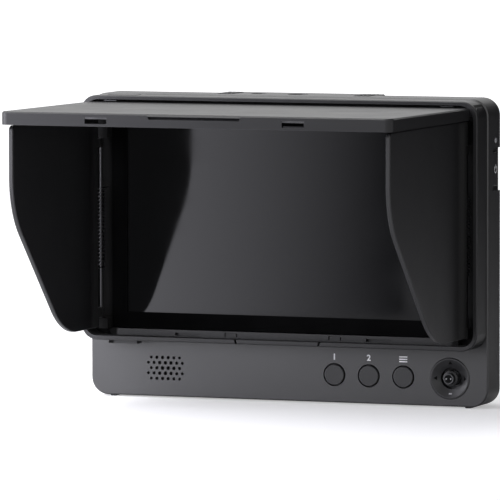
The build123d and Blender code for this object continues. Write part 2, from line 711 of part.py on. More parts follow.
def backlight_unit():
    return screen_box(PANE_LEDGE, BACKLIGHT_FRONT, BEZEL_BACK)


# ---- boards and what they carry -------------------------------------------
def main_board():
    """The main circuit board, held against the back cover's rim."""
    return slab(-MAIN_BOARD_HALF, MAIN_BOARD_HALF, MAIN_BOARD_Y, MAIN_BOARD_Y + MAIN_BOARD_THICKNESS,
                MAIN_BOARD_LOW, MAIN_BOARD_HIGH)


def key_board():
    """The board behind the keys and the stick, cut away where it would meet the tripod bush."""
    board = slab(*key_board_span(), KEY_BOARD_Y, KEY_BOARD_Y + KEY_BOARD_THICKNESS, KEY_BOARD_LOW,
                 KEY_BOARD_HIGH)
    return board - rod_z(0, 0, INSERT_RADIUS + MOVE_GAP, -PAST, INSERT_HEIGHT + MOVE_GAP)


def key_switches():
    """A push switch behind each button; its stem ends just past the button's travel."""
    tip = button_flange_back() + BUTTON_TRAVEL + SEAT_FIT
    body = tip + SWITCH_STEM_LENGTH
    half = SWITCH_SIZE / 2
    return joined([
        slab(x - half, x + half, body, KEY_BOARD_Y, CONTROL_Z - half, CONTROL_Z + half)
        + prism_y(x, CONTROL_Z, SWITCH_STEM_RADIUS, tip, body, POST_SIDES)
        for x in button_places()
    ])


def speaker_driver():
    """The speaker behind the grille: a rim against the wall, and a shallow dish."""
    half_x, half_z = SPEAKER_WIDTH / 2, SPEAKER_HEIGHT / 2
    face = FRONT + WALL + SEAT_FIT
    frame = slab(SPEAKER_X - half_x, SPEAKER_X + half_x, face, face + SPEAKER_DEPTH, SPEAKER_Z - half_z,
                 SPEAKER_Z + half_z)
    half_x, half_z = half_x - SPEAKER_RIM, half_z - SPEAKER_RIM
    dish = slab(SPEAKER_X - half_x, SPEAKER_X + half_x, FRONT, face + SPEAKER_DISH, SPEAKER_Z - half_z,
                SPEAKER_Z + half_z)
    return frame - dish


# ---- buttons --------------------------------------------------------------
def button_flange_back():
    return FRONT + WALL + SEAT_FIT + BUTTON_FLANGE_THICKNESS


def button(x):
    """A round key with a bevelled face and a flange that keeps it behind the wall."""
    back = button_flange_back()
    flange = prism_y(x, CONTROL_Z, BUTTON_FLANGE, back - BUTTON_FLANGE_THICKNESS, back, POST_SIDES)
    key = rod_y(x, CONTROL_Z, BUTTON_RADIUS, FRONT - BUTTON_PROUD, back)
    return chamfer(key.faces().sort_by(Axis.Y)[0].edges(), BUTTON_CROWN) + flange


# ---- joystick -------------------------------------------------------------
def joystick_ring():
    """The dished collar round the stick."""
    face = FRONT - STICK_RING_PROUD
    back = stick_base_front()
    well = face + STICK_DISH_DEPTH
    profile = [(STICK_WELL_RADIUS, back), (STICK_WELL_RADIUS, well), (STICK_DISH_RADIUS, face),
               (STICK_RING_RADIUS - STICK_RING_PROUD, face), (STICK_RING_RADIUS, face + STICK_RING_PROUD),
               (STICK_RING_RADIUS, back)]
    return turned_y(STICK_X, CONTROL_Z, profile)


def stick_base_front():
    return FRONT + WALL + STICK_BASE_SET


def joystick_base():
    """The cup that carries the stick's gimbal, standing on the key board."""
    half = STICK_BASE_SIZE / 2
    front = stick_base_front()
    block = slab(STICK_X - half, STICK_X + half, front, KEY_BOARD_Y, CONTROL_Z - half, CONTROL_Z + half)
    cup = prism_y(STICK_X, CONTROL_Z, STICK_CUP_RADIUS, front - PAST, KEY_BOARD_Y - STICK_CUP_FLOOR,
                  PIN_SIDES)
    reach = STICK_CUP_RADIUS + PIVOT_REACH + RUN_FIT
    pivots = prism_x(STICK_PIVOT_Y, CONTROL_Z, PIVOT_RADIUS + RUN_FIT, STICK_X - reach, STICK_X + reach,
                     POST_SIDES)
    return block - cup - pivots


def joystick_gimbal():
    """A ring on two pins along X, which carries the stem's pins along Z."""
    y, half = STICK_PIVOT_Y, GIMBAL_THICKNESS / 2
    ring = prism_y(STICK_X, CONTROL_Z, GIMBAL_RADIUS, y - half, y + half, PIN_SIDES)
    reach = STICK_CUP_RADIUS + PIVOT_REACH
    pins = prism_x(y, CONTROL_Z, PIVOT_RADIUS, STICK_X - reach, STICK_X + reach, PIN_SIDES)
    bore = prism_y(STICK_X, CONTROL_Z, GIMBAL_BORE, y - half - PAST, y + half + PAST, PIN_SIDES)
    holes = prism_z(STICK_X, y, PIVOT_RADIUS + RUN_FIT, CONTROL_Z - GIMBAL_RADIUS - PAST,
                    CONTROL_Z + GIMBAL_RADIUS + PAST, POST_SIDES)
    return ring + pins - bore - holes


def joystick_stem():
    hub = prism_y(STICK_X, CONTROL_Z, STICK_HUB_RADIUS, STICK_PIVOT_Y - STICK_HUB_THICKNESS / 2,
                  STICK_PIVOT_Y + STICK_HUB_THICKNESS / 2, POST_SIDES)
    reach = GIMBAL_RADIUS - MOVE_GAP
    pins = prism_z(STICK_X, STICK_PIVOT_Y, PIVOT_RADIUS, CONTROL_Z - reach, CONTROL_Z + reach, PIN_SIDES)
    stem = prism_y(STICK_X, CONTROL_Z, STEM_RADIUS, STICK_PIVOT_Y - STEM_LENGTH, STICK_PIVOT_Y, PIN_SIDES)
    return hub + pins + stem


def joystick_cap():
    """The stick's cap: a ringed foot and a narrow tip, on a skirt that slides down the stem."""
    tip = FRONT - CAP_PROUD
    foot_front, foot_back = FRONT + CAP_FOOT_FRONT, FRONT + CAP_FOOT_BACK
    back = STICK_PIVOT_Y - STICK_HUB_THICKNESS / 2 - CAP_TRAVEL - MOVE_GAP
    bottom = STICK_PIVOT_Y - STEM_LENGTH - CAP_TRAVEL - SEAT_FIT
    profile = [(0, foot_back), (CAP_FLANGE, foot_back), (CAP_FLANGE, foot_front),
               (CAP_TIP, foot_front - CAP_TIP_STEP), (CAP_TIP - CAP_TIP_STEP / 2, tip), (0, tip)]
    skirt = prism_y(STICK_X, CONTROL_Z, CAP_SKIRT, foot_back, back, PIN_SIDES)
    bore = prism_y(STICK_X, CONTROL_Z, STEM_RADIUS + RUN_FIT, bottom, back + PAST, PIN_SIDES)
    return turned_y(STICK_X, CONTROL_Z, profile) + skirt - bore


# ---- tripod sockets -------------------------------------------------------
def bottom_socket():
    """The metal bush of the bottom tripod socket, flush with the bottom face."""
    bush = rod_z(0, 0, INSERT_RADIUS, 0, INSERT_HEIGHT)
    return bush - rod_z(0, 0, THREAD_RADIUS, -PAST, THREAD_DEPTH)


def top_socket_block():
    """The metal block under the top wall, with the tripod thread and the locating hole."""
    block = top_block_box(-SEAT_FIT)
    thread = rod_z(0, 0, THREAD_RADIUS, TOP_BLOCK_LOW - PAST, TOP_BLOCK_TOP + PAST)
    pin = rod_z(-PIN_HOLE_OFFSET, 0, PIN_HOLE_RADIUS, TOP_BLOCK_TOP - PIN_HOLE_DEPTH, TOP_BLOCK_TOP + PAST)
    return block - thread - pin


# ---- side sockets ---------------------------------------------------------
def hdmi_socket():
    """A picture socket: a thin metal shell with a tongue, on the main board."""
    x0 = -SIDE + PORT_SINK
    x1 = x0 + HDMI_LENGTH
    half_y, half_z = HDMI_THICKNESS / 2, HDMI_WIDTH / 2
    shell = slab(x0, x1, PORT_Y - half_y, PORT_Y + half_y, HDMI_Z - half_z, HDMI_Z + half_z)
    inside = slab(x0 - PAST, x1 - 2 * HDMI_WALL, PORT_Y - half_y + HDMI_WALL, PORT_Y + half_y - HDMI_WALL,
                  HDMI_Z - half_z + HDMI_WALL, HDMI_Z + half_z - HDMI_WALL)
    corners = inside.edges().filter_by(Axis.X).group_by(Axis.Y)[0]
    inside = chamfer(corners, HDMI_CORNER)
    tongue = slab(x0 + HDMI_TONGUE, x1, PORT_Y - HDMI_TONGUE / 2, PORT_Y + HDMI_TONGUE / 2,
                  HDMI_Z - half_z + 2 * HDMI_TONGUE, HDMI_Z + half_z - 2 * HDMI_TONGUE)
    return shell - inside + tongue


def power_socket():
    """The power socket: an oval opening with a thin tongue, in a block on the main board."""
    x0 = -SIDE + PORT_SINK
    x1 = x0 + USB_LENGTH
    block = slab(-SIDE + WALL + SEAT_FIT, x1, PORT_Y - USB_THICKNESS / 2, MAIN_BOARD_Y - SEAT_FIT,
                 USB_Z - USB_WIDTH / 2, USB_Z + USB_WIDTH / 2)
    shell = usb_oval(0, x0, x1) + block - usb_oval(-USB_WALL, x0 - PAST, x1 - USB_TONGUE)
    reach = (USB_WIDTH - USB_THICKNESS) / 2
    return shell + slab(x0 + USB_TONGUE, x1, PORT_Y - USB_TONGUE / 2, PORT_Y + USB_TONGUE / 2,
                        USB_Z - reach, USB_Z + reach)


def headphone_jack():
    x0 = -SIDE + PORT_SINK
    half = JACK_BODY / 2
    block = slab(-SIDE + WALL + SEAT_FIT, x0 + JACK_LENGTH, PORT_Y - half + SEAT_FIT,
                 MAIN_BOARD_Y - SEAT_FIT, JACK_Z - half, JACK_Z + half)
    collar = rod_x(PORT_Y, JACK_Z, JACK_COLLAR, x0, -SIDE + WALL + SEAT_FIT)
    return block + collar - rod_x(PORT_Y, JACK_Z, JACK_RADIUS, x0 - PAST, x0 + JACK_DEPTH)


# ---- power slide ----------------------------------------------------------
def power_slider():
    """The slide in its sunk track, with a stem through the wall to its switch."""
    floor = SIDE - SLIDE_RECESS + RUN_FIT
    tall = SLIDE_KNOB_HEIGHT / 2
    knob = slab(floor, floor + SLIDE_KNOB_THICKNESS, SLIDE_Y + MOVE_GAP,
                RIM_BACK - SLIDE_REAR_LIP - MOVE_GAP, SLIDE_MIDDLE - tall, SLIDE_MIDDLE + tall)
    knob = fillet(knob.faces().sort_by(Axis.X)[-1].edges(), EDGE_ROUND)
    y, half = slide_stem_y(), SLIDE_STEM / 2
    stem = slab(SIDE - WALL - MOVE_GAP, floor, y - half, y + half, SLIDE_MIDDLE - half, SLIDE_MIDDLE + half)
    return knob + stem


def power_switch():
    y, half = slide_stem_y(), SLIDE_LENGTH / 2
    x1 = SIDE - WALL - 2 * MOVE_GAP
    return slab(x1 - SLIDE_SWITCH_DEPTH, x1, y - SLIDE_STEM, MAIN_BOARD_Y - SEAT_FIT,
                SLIDE_MIDDLE - half, SLIDE_MIDDLE + half)


def power_lamp():
    lens = prism_x(slide_stem_y(), LAMP_Z, LAMP_RADIUS, SIDE - WALL, SIDE + LAMP_PROUD, PIN_SIDES)
    return chamfer(lens.faces().sort_by(Axis.X)[-1].edges(), LAMP_PROUD)


# ---- battery bay ----------------------------------------------------------
def battery_plate():
    """The plate on the bay's floor, with four hooks that hold a slide-on battery."""
    half = PLATE_WIDTH / 2
    top = BAY_FLOOR + PLATE_THICKNESS
    pieces = [slab(-half, half, BAY_FLOOR, top, PLATE_LOW, PLATE_HIGH)]
    for side in (-1, 1):
        for z in HOOK_Z:
            outer = side * half
            wall = outer - side * HOOK_WALL
            pieces.append(slab(wall, outer, BAY_FLOOR, top + HOOK_HEIGHT, z, z + HOOK_LENGTH))
            pieces.append(slab(wall - side * HOOK_LIP, outer, top + HOOK_HEIGHT - HOOK_LIP_THICKNESS,
                               top + HOOK_HEIGHT, z, z + HOOK_LENGTH))
    return joined(pieces)


def battery_contacts():
    """A contact block with four blades, on the battery plate's lower end."""
    face = BAY_FLOOR + PLATE_THICKNESS
    low = PLATE_LOW + CONTACT_SET
    half = CONTACT_WIDTH / 2
    block = slab(-half, half, face, face + CONTACT_BLOCK, low, low + CONTACT_HEIGHT)
    blades = []
    for n in range(BLADE_COUNT):
        x = (n - (BLADE_COUNT - 1) / 2) * BLADE_PITCH
        blades.append(slab(x - BLADE_THICKNESS / 2, x + BLADE_THICKNESS / 2, face,
                           face + CONTACT_BLOCK + BLADE_PROUD, low + BLADE_THICKNESS,
                           low + CONTACT_HEIGHT - BLADE_THICKNESS))
    return joined([block] + blades)


def battery_latch():
    """A sprung slide over the bay, whose tooth drops in behind the battery."""
    floor = BACK - LATCH_DEPTH + LATCH_GAP
    low, high = BAY_HIGH + LATCH_GAP, BAY_HIGH + LATCH_HEIGHT
    half = LATCH_WIDTH / 2
    wings = slab(-half - LATCH_WING, half + LATCH_WING, floor, floor + LATCH_WING_THICKNESS, low, high)
    body = slab(-half, half, floor, BACK, low, high)
    ridges = [slab(-half + LATCH_WING, half - LATCH_WING, BACK - LATCH_PROUD, BACK + LATCH_PROUD,
                   z, z + LATCH_PROUD)
              for z in (low + LATCH_PROUD, high - 2 * LATCH_PROUD)]
    tooth = slab(-LATCH_TOOTH_WIDTH / 2, LATCH_TOOTH_WIDTH / 2, floor, floor + LATCH_TOOTH,
                 BAY_HIGH - LATCH_TOOTH, low + LATCH_PROUD)
    return joined([body, wings, tooth] + ridges)


def coil(low, turns, pitch, radius, wire, hand=1, legs=()):
    """A helical spring round the Z axis in short straight steps, with a leg at each end where asked."""
    points = []
    for n in range(turns * COIL_STEPS + 1):
        share = n / COIL_STEPS
        angle = 2 * pi * share
        points.append((radius * cos(angle), hand * radius * sin(angle), low + pitch * share))
    if legs:
        first, last = points[0], points[-1]
        points.insert(0, (first[0], first[1] - hand * legs[0], first[2]))
        points.append((last[0], last[1] + hand * legs[1], last[2]))
    path = Polyline(*points)
    section = Plane(origin=path @ 0, z_dir=path % 0) * RegularPolygon(wire, COIL_SIDES)
    return sweep(section, path=path, transition=Transition.RIGHT)


def latch_spring():
    low = BAY_HIGH + LATCH_HEIGHT + LATCH_WIRE + SEAT_FIT
    room = LATCH_ROOM - 2 * LATCH_WIRE - 2 * SEAT_FIT
    winding = coil(low, LATCH_TURNS, room / LATCH_TURNS, LATCH_COIL_RADIUS, LATCH_WIRE)
    return Pos(0, BACK - LATCH_DEPTH / 2, 0) * winding


# ---- hood frame -----------------------------------------------------------
def arched(half, z0, z1, low_corner, top_corner, y0, y1):
    """A block whose lower and upper corners have their own radii, seen from the front."""
    outline = Rectangle(2 * half, z1 - z0)
    outline = fillet(outline.vertices().group_by(Axis.Y)[-1], top_corner)
    outline = fillet(outline.vertices().group_by(Axis.Y)[0], low_corner)
    return extrude(upright(y1) * Pos(0, (z0 + z1) / 2) * outline, amount=y1 - y0)


def pin_blocks(side):
    """The two blocks that hold a flap's pin, standing on the frame's web."""
    x, y = side * FLAP_PIN_X, FLAP_PIN_Y[side]
    spans = [(LEDGE_TOP, LOWER_BUSH[0] - BUSH_GAP), (UPPER_BUSH[1] + BUSH_GAP, PIN_BLOCK_TOP)]
    return [slab(x - side * PIN_BLOCK_INNER, x + side * PIN_BLOCK_OUTER, y - PIN_BLOCK_PROUD, WEB_FRONT,
                 z0, z1) for z0, z1 in spans]


def tongue_slit(side):
    """A slanted slit through the lower lip, at one end of its springy middle."""
    x = side * TONGUE_HALF
    low, high = FRAME_BOTTOM - PAST, FRAME_INNER_LOW + PAST
    lean = side * TONGUE_SLANT / 2
    half = TONGUE_SLIT / 2
    points = [(x - lean - half, low), (x - lean + half, low), (x + lean + half, high),
              (x + lean - half, high)]
    face = upright(LEDGE_FRONT) * make_face(Polyline(*points, close=True))
    return extrude(face, amount=LEDGE_FRONT - FRAME_FRONT + PAST)


def release_tab(side):
    """The outline cut round a small square tab in the ledge."""
    x, half = side * TAB_X, TAB_SIZE / 2
    middle = (FRAME_INNER_LOW + LEDGE_TOP) / 2
    tall = (LEDGE_TOP - FRAME_INNER_LOW) / 2 - TAB_SLIT
    depth = (LEDGE_FRONT - PAST, LEDGE_FRONT + TAB_DEPTH)
    outer = slab(x - half, x + half, *depth, middle - tall, middle + tall)
    half -= TAB_SLIT
    inner = slab(x - half, x + half, *depth, middle - tall - PAST, middle + tall - TAB_SLIT)
    return outer - inner


def clip_box(z0, z1, gap):
    half = CLIP_WIDTH / 2 + gap
    back = FRONT - CLIP_SETBACK + gap
    return slab(CLIP_X - half, CLIP_X + half, back - CLIP_LENGTH - 2 * gap, back, z0, z1)


def hood_frame():
    """The ring that clips round the display and carries the lid and both flaps."""
    ring = arched(FRAME_HALF, FRAME_BOTTOM, FRAME_TOP, FRAME_CORNER, FRAME_CORNER, FRAME_FRONT, FRONT)
    ring = chamfer(ring.faces().sort_by(Axis.Y)[0].edges(), FRAME_EDGE)
    cavity = arched(FRAME_INNER_HALF, FRAME_INNER_LOW, FRAME_INNER_TOP, FRAME_LOW_BORE, FRAME_TOP_BORE,
                    FRAME_FRONT - PAST, WEB_FRONT)
    pieces = [ring - cavity]
    pieces += [slab(-LEDGE_HALF, LEDGE_HALF, LEDGE_FRONT, FRONT, FRAME_BOTTOM + FRAME_LIP / 2, LEDGE_TOP)]
    for side in (-1, 1):
        pieces += pin_blocks(side)
        pieces += [prism_x(LID_HINGE_Y, LID_HINGE_Z, LID_BOSS_RADIUS, side * (LID_NECK_HALF + MOVE_GAP),
                           side * (FRAME_INNER_HALF + FRAME_WALL / 2), PIN_SIDES)]
    pieces += claw_blocks(0, CLAW_LENGTH)
    cuts = [plaque(BEZEL_WIDTH + 2 * SLIDE_GAP, LEDGE_TOP, BEZEL_TOP + SLIDE_GAP, BEZEL_CORNER + SLIDE_GAP,
                   FRAME_FRONT, FRONT + PAST)]
    for side in (-1, 1):
        cuts += [prism_z(side * FLAP_PIN_X, FLAP_PIN_Y[side], FLAP_PIN_RADIUS + RUN_FIT,
                         LEDGE_TOP + PIN_SEAT - RUN_FIT, PIN_BLOCK_TOP - PIN_SEAT + RUN_FIT, POST_SIDES)]
        cuts += [prism_x(LID_HINGE_Y, LID_HINGE_Z, LID_PIN_RADIUS + RUN_FIT, side * (LID_NECK_HALF - PAST),
                         side * (FRAME_HALF - LID_PIN_SEAT + RUN_FIT), POST_SIDES)]
        cuts += [slab(side * CATCH_X - CATCH_WIDTH / 2, side * CATCH_X + CATCH_WIDTH / 2, LEDGE_FRONT - PAST,
                      LEDGE_FRONT + CATCH_DEPTH, CATCH_LOW, CATCH_LOW + CATCH_HEIGHT)]
        cuts += [release_tab(side), tongue_slit(side)]
    cuts += [clip_box(FRAME_INNER_TOP - CLIP_GAP, FRAME_TOP + PAST, CLIP_GAP),
             clip_box(FRAME_BOTTOM - PAST, FRAME_INNER_LOW, CLIP_GAP)]
    return joined(pieces) - cuts


def hood_clips():
    """The two clips that lock the hood to the monitor, in the frame's top and bottom walls."""
    return joined([clip_box(FRAME_INNER_TOP, FRAME_TOP + CLIP_PROUD, 0),
                   clip_box(FRAME_BOTTOM - CLIP_DROP, FRAME_INNER_LOW, 0)])


# ---- lid ------------------------------------------------------------------
def hood_lid():
    """The top panel: a plate rising a little to the front, a rim round three sides and two hinge ears."""
    back = LID_HINGE_Y + LID_TAIL
    neck = FRAME_FRONT - MOVE_GAP
    block = lid_side(-LID_HALF, LID_HALF, [(LID_FRONT, LID_BOTTOM), (LID_FRONT, LID_CREST), (back, LID_TOP),
                                           (back, LID_BOTTOM)])
    block = fillet(block.edges().filter_by(Axis.Z).group_by(Axis.Y)[0], LID_CORNER)
    top = block.faces().sort_by(Axis.Z)[-1].edges()
    block = chamfer(top.sort_by(Axis.Y)[:-1], LID_EDGE)
    cuts = [lid_hollow(LID_HALF, LID_FRONT + LID_RIM_WALL, neck - LID_SIDE_WALL),
            lid_hollow(LID_NECK_HALF, LID_FRONT + LID_RIM_WALL, back + PAST), thumb_recess()]
    for side in (-1, 1):
        cuts += [slab(side * LID_NECK_HALF, side * (LID_HALF + PAST), neck, back + PAST,
                      LID_BOTTOM - PAST, LID_CREST)]
        cuts += [slab(side * LID_TAIL_HALF, side * (LID_HALF + PAST), LID_HINGE_Y, back + PAST,
                      LID_BOTTOM - PAST, LID_CREST)]
        cuts += [lid_window(side, LID_FRONT - PAST, LID_FRONT + LID_RIM_WALL + PAST)]
    ear = LID_NECK_HALF - LID_EAR_WIDTH
    ears = [prism_x(LID_HINGE_Y, LID_HINGE_Z, LID_EAR_RADIUS, side * ear, side * LID_NECK_HALF, PIN_SIDES)
            for side in (-1, 1)]
    bores = [prism_x(LID_HINGE_Y, LID_HINGE_Z, LID_PIN_RADIUS + RUN_FIT, side * (ear - PAST),
                     side * (LID_NECK_HALF + PAST), POST_SIDES) for side in (-1, 1)]
    return joined([block - cuts] + ears) - bores


def lid_side(x0, x1, points):
    """A solid of one side outline, given as (y, z) points, from x0 to x1."""
    plane = Plane(origin=(x0, 0, 0), x_dir=(0, 1, 0), z_dir=(1, 0, 0))
    return extrude(plane * make_face(Polyline(*points, close=True)), amount=x1 - x0)


def lid_hollow(half, y0, y1):
    half -= LID_SIDE_WALL
    return slab(-half, half, y0, y1, LID_BOTTOM - PAST, LID_TOP - LID_PLATE)


def lid_window(side, y0, y1):
    top = LID_CREST - LID_WINDOW_DROP
    x, half = side * CATCH_X, LID_WINDOW_WIDTH / 2
    return slab(x - half, x + half, y0, y1, top - LID_WINDOW_HEIGHT, top)


def thumb_recess():
    """The thumb recess in the front edge: a sloped scoop and under its lip a dark groove, ends slanted."""
    low = LID_CREST - THUMB_SCOOP - THUMB_LIP - THUMB_SLOT
    ends = [(-THUMB_HALF, LID_CREST), (THUMB_HALF, LID_CREST), (THUMB_HALF - THUMB_SLANT, low),
            (THUMB_SLANT - THUMB_HALF, low)]
    face = upright(LID_FRONT + THUMB_DEPTH) * make_face(Polyline(*ends, close=True))
    lip = LID_CREST - THUMB_SCOOP - THUMB_LIP
    shape = [(LID_FRONT - PAST, low), (LID_FRONT - PAST, LID_CREST), (LID_FRONT + THUMB_SCOOP, LID_CREST),
             (LID_FRONT, LID_CREST - THUMB_SCOOP), (LID_FRONT, lip), (LID_FRONT + THUMB_DEPTH, lip),
             (LID_FRONT + THUMB_FOOT, low)]
    return extrude(face, amount=THUMB_DEPTH + PAST) & lid_side(-THUMB_HALF, THUMB_HALF, shape)


def lid_catches():
    """A steel catch at the top of each window in the lid's rim."""
    top = LID_CREST - LID_WINDOW_DROP
    half = LID_WINDOW_WIDTH / 2
    return joined([
        slab(side * CATCH_X - half, side * CATCH_X + half, LID_FRONT + LID_CATCH_SET,
             LID_FRONT + LID_RIM_WALL + LID_CATCH_THICKNESS, top - LID_CATCH_THICKNESS, top)
        for side in (-1, 1)
    ])


def lid_hinge_pins():
    return joined([
        prism_x(LID_HINGE_Y, LID_HINGE_Z, LID_PIN_RADIUS, side * (LID_NECK_HALF - LID_EAR_WIDTH),
                side * (FRAME_HALF - LID_PIN_SEAT), PIN_SIDES)
        for side in (-1, 1)
    ])


def lid_leaf_springs():
    """Two steel leaves over the lid's back edge, which hold it up."""
    front = FRAME_FRONT + LEAF_SET
    return joined([
        slab(side * (LEAF_OUTER - LEAF_WIDTH), side * LEAF_OUTER, front, WEB_FRONT, LEAF_Z,
             LEAF_Z + LEAF_THICKNESS)
        for side in (-1, 1)
    ])


# ---- side flaps -----------------------------------------------------------
def flap(side):
    """A side flap: a flat panel cut back on a diagonal, with two knuckles on its pin."""
    pin_y = FLAP_PIN_Y[side]
    back = pin_y - FLAP_SETBACK
    slope_back = FRONT - FLAP_DIAGONAL_BACK
    corners = [(back, FLAP_TOP), (FLAP_FRONT, FLAP_TOP), (FLAP_FRONT, FLAP_TOP - FLAP_FRONT_HEIGHT),
               (slope_back, FLAP_BOTTOM), (back, FLAP_BOTTOM)]
    outline = make_face(Polyline(*corners, close=True))
    for corner, radius in zip(corners[1:4], (FLAP_TOP_CORNER, FLAP_CURVE, FLAP_CURVE)):
        outline = fillet(outline.vertices().sort_by_distance(corner)[0], radius)
    low_x = min(side * FLAP_OUTER, side * (FLAP_OUTER - FLAP_THICKNESS))
    plane = Plane(origin=(low_x, 0, 0), x_dir=(0, 1, 0), z_dir=(1, 0, 0))
    panel = extrude(plane * outline, amount=FLAP_THICKNESS)
    faces = panel.faces().sort_by(Axis.X)
    panel = chamfer(faces[0].edges() + faces[-1].edges(), FLAP_EDGE)
    x = side * FLAP_PIN_X
    pieces = [panel]
    for z0, z1 in (UPPER_BUSH, LOWER_BUSH):
        pieces += [prism_z(x, pin_y, BUSH_RADIUS, z0, z1, PIN_SIDES)]
        pieces += [slab(side * (FLAP_OUTER - FLAP_THICKNESS), x + side * BUSH_RADIUS, back - FLAP_OVERLAP,
                        pin_y, z0, z1)]
    bore = prism_z(x, pin_y, FLAP_PIN_RADIUS + RUN_FIT, FLAP_BOTTOM, FLAP_TOP, POST_SIDES)
    return joined(pieces) - bore


def flap_pin(side):
    return prism_z(side * FLAP_PIN_X, FLAP_PIN_Y[side], FLAP_PIN_RADIUS, LEDGE_TOP + PIN_SEAT,
                   PIN_BLOCK_TOP - PIN_SEAT, PIN_SIDES)


def flap_spring(side):
    """The torsion spring round a flap's pin: one leg on the flap's inner face, one on the web."""
    x, y = side * FLAP_PIN_X, FLAP_PIN_Y[side]
    turn = 180 if side > 0 else 0
    legs = (COIL_LEG, WEB_FRONT - y)
    winding = coil(COIL_LOW, COIL_TURNS, COIL_PITCH, COIL_RADIUS, COIL_WIRE, -side, legs)
    return Pos(x, y, 0) * Rot(0, 0, turn) * winding


# ---- files ----------------------------------------------------------------
NODES = {
    "front_shell": front_shell,
    "rear_cover": rear_cover,
    "case_screws": case_screws,
    "bottom_feet": bottom_feet,
    "top_grips": top_grips,
    "display_bezel": display_bezel,
    "cover_glass": cover_glass,
    "lcd_panel": lcd_panel,
    "backlight_unit": backlight_unit,
    "main_board": main_board,
    "key_board": key_board,
    "key_switches": key_switches,
    "speaker_driver": speaker_driver,
    "joystick_ring": joystick_ring,
    "joystick_base": joystick_base,
    "joystick_gimbal": joystick_gimbal,
    "joystick_stem": joystick_stem,
    "joystick_cap": joystick_cap,
    "bottom_socket": bottom_socket,
    "top_socket_block": top_socket_block,
    "hdmi_socket": hdmi_socket,
    "power_socket": power_socket,
    "headphone_jack": headphone_jack,
    "power_slider": power_slider,
    "power_switch": power_switch,
    "power_lamp": power_lamp,
    "battery_plate": battery_plate,
    "battery_contacts": battery_contacts,
    "battery_latch": battery_latch,
    "latch_spring": latch_spring,
    "hood_frame": hood_frame,
    "hood_clips": hood_clips,
    "hood_lid": hood_lid,
    "lid_catches": lid_catches,
    "lid_hinge_pins": lid_hinge_pins,
    "lid_leaf_springs": lid_leaf_springs,
}

os.makedirs("parts", exist_ok=True)
for name, make in NODES.items():
    export_step(make(), f"parts/{name}.step")
for name, x in zip(("button_1", "button_2", "button_menu"), button_places()):
    export_step(button(x), f"parts/{name}.step")
for name, side in (("left", -1), ("right", 1)):
    export_step(flap(side), f"parts/{name}_flap.step")
    export_step(flap_pin(side), f"parts/{name}_flap_pin.step")
    export_step(flap_spring(side), f"parts/{name}_flap_spring.step")
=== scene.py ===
import math

import bmesh
import bpy
from mathutils import Matrix, Vector


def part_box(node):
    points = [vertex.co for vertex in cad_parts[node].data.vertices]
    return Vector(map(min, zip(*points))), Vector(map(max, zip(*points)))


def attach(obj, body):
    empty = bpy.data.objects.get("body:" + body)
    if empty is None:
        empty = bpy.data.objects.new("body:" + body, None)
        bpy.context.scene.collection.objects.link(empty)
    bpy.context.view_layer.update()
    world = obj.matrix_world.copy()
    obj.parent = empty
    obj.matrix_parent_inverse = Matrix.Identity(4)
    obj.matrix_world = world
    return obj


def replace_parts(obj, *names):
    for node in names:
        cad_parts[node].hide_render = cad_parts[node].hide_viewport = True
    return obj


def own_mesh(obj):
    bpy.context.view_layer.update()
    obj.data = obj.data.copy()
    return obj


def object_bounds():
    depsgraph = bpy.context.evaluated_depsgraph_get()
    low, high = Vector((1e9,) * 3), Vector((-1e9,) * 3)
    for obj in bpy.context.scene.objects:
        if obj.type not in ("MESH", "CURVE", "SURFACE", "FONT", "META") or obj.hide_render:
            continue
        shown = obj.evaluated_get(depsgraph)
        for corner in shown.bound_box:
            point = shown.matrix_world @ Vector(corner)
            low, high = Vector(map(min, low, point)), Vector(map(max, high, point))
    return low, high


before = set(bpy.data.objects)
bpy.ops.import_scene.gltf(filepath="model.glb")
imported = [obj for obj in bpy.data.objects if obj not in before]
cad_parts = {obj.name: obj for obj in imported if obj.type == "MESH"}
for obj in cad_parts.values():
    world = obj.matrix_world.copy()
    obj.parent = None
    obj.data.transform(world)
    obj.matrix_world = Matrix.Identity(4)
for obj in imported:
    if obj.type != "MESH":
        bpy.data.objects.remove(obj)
cad_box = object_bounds()


# ---- camera -----------------------------------------------------------------
# A long lens nearly two metres off, to the right of the screen and a little above it, so the
# monitor is seen with almost no perspective.
CAMERA_PLACE = Vector((0.687207, -1.820881, 0.190615))
CAMERA_TURN = math.radians(21.145)
CAMERA_RISE = math.radians(4.203)
CAMERA_ROLL = math.radians(-0.089)
CAMERA_LENS = 462.04
CAMERA_SHIFT = (0.00795, -0.01571)

camera = bpy.data.objects.new("camera", bpy.data.cameras.new("camera"))
bpy.context.scene.collection.objects.link(camera)
behind = Vector((math.sin(CAMERA_TURN) * math.cos(CAMERA_RISE),
                 -math.cos(CAMERA_TURN) * math.cos(CAMERA_RISE), math.sin(CAMERA_RISE)))
level = Vector((math.cos(CAMERA_TURN), math.sin(CAMERA_TURN), 0))
upward = behind.cross(level)
across = level * math.cos(CAMERA_ROLL) + upward * math.sin(CAMERA_ROLL)
upright = upward * math.cos(CAMERA_ROLL) - level * math.sin(CAMERA_ROLL)
camera.matrix_world = (Matrix.Translation(CAMERA_PLACE)
                       @ Matrix((across, upright, behind)).transposed().to_4x4())
camera.data.sensor_width = 36
camera.data.lens = CAMERA_LENS
camera.data.shift_x, camera.data.shift_y = CAMERA_SHIFT
camera.data.clip_start = 0.05
camera.data.clip_end = 100
bpy.context.scene.camera = camera
bpy.context.scene.view_settings.view_transform = "Standard"


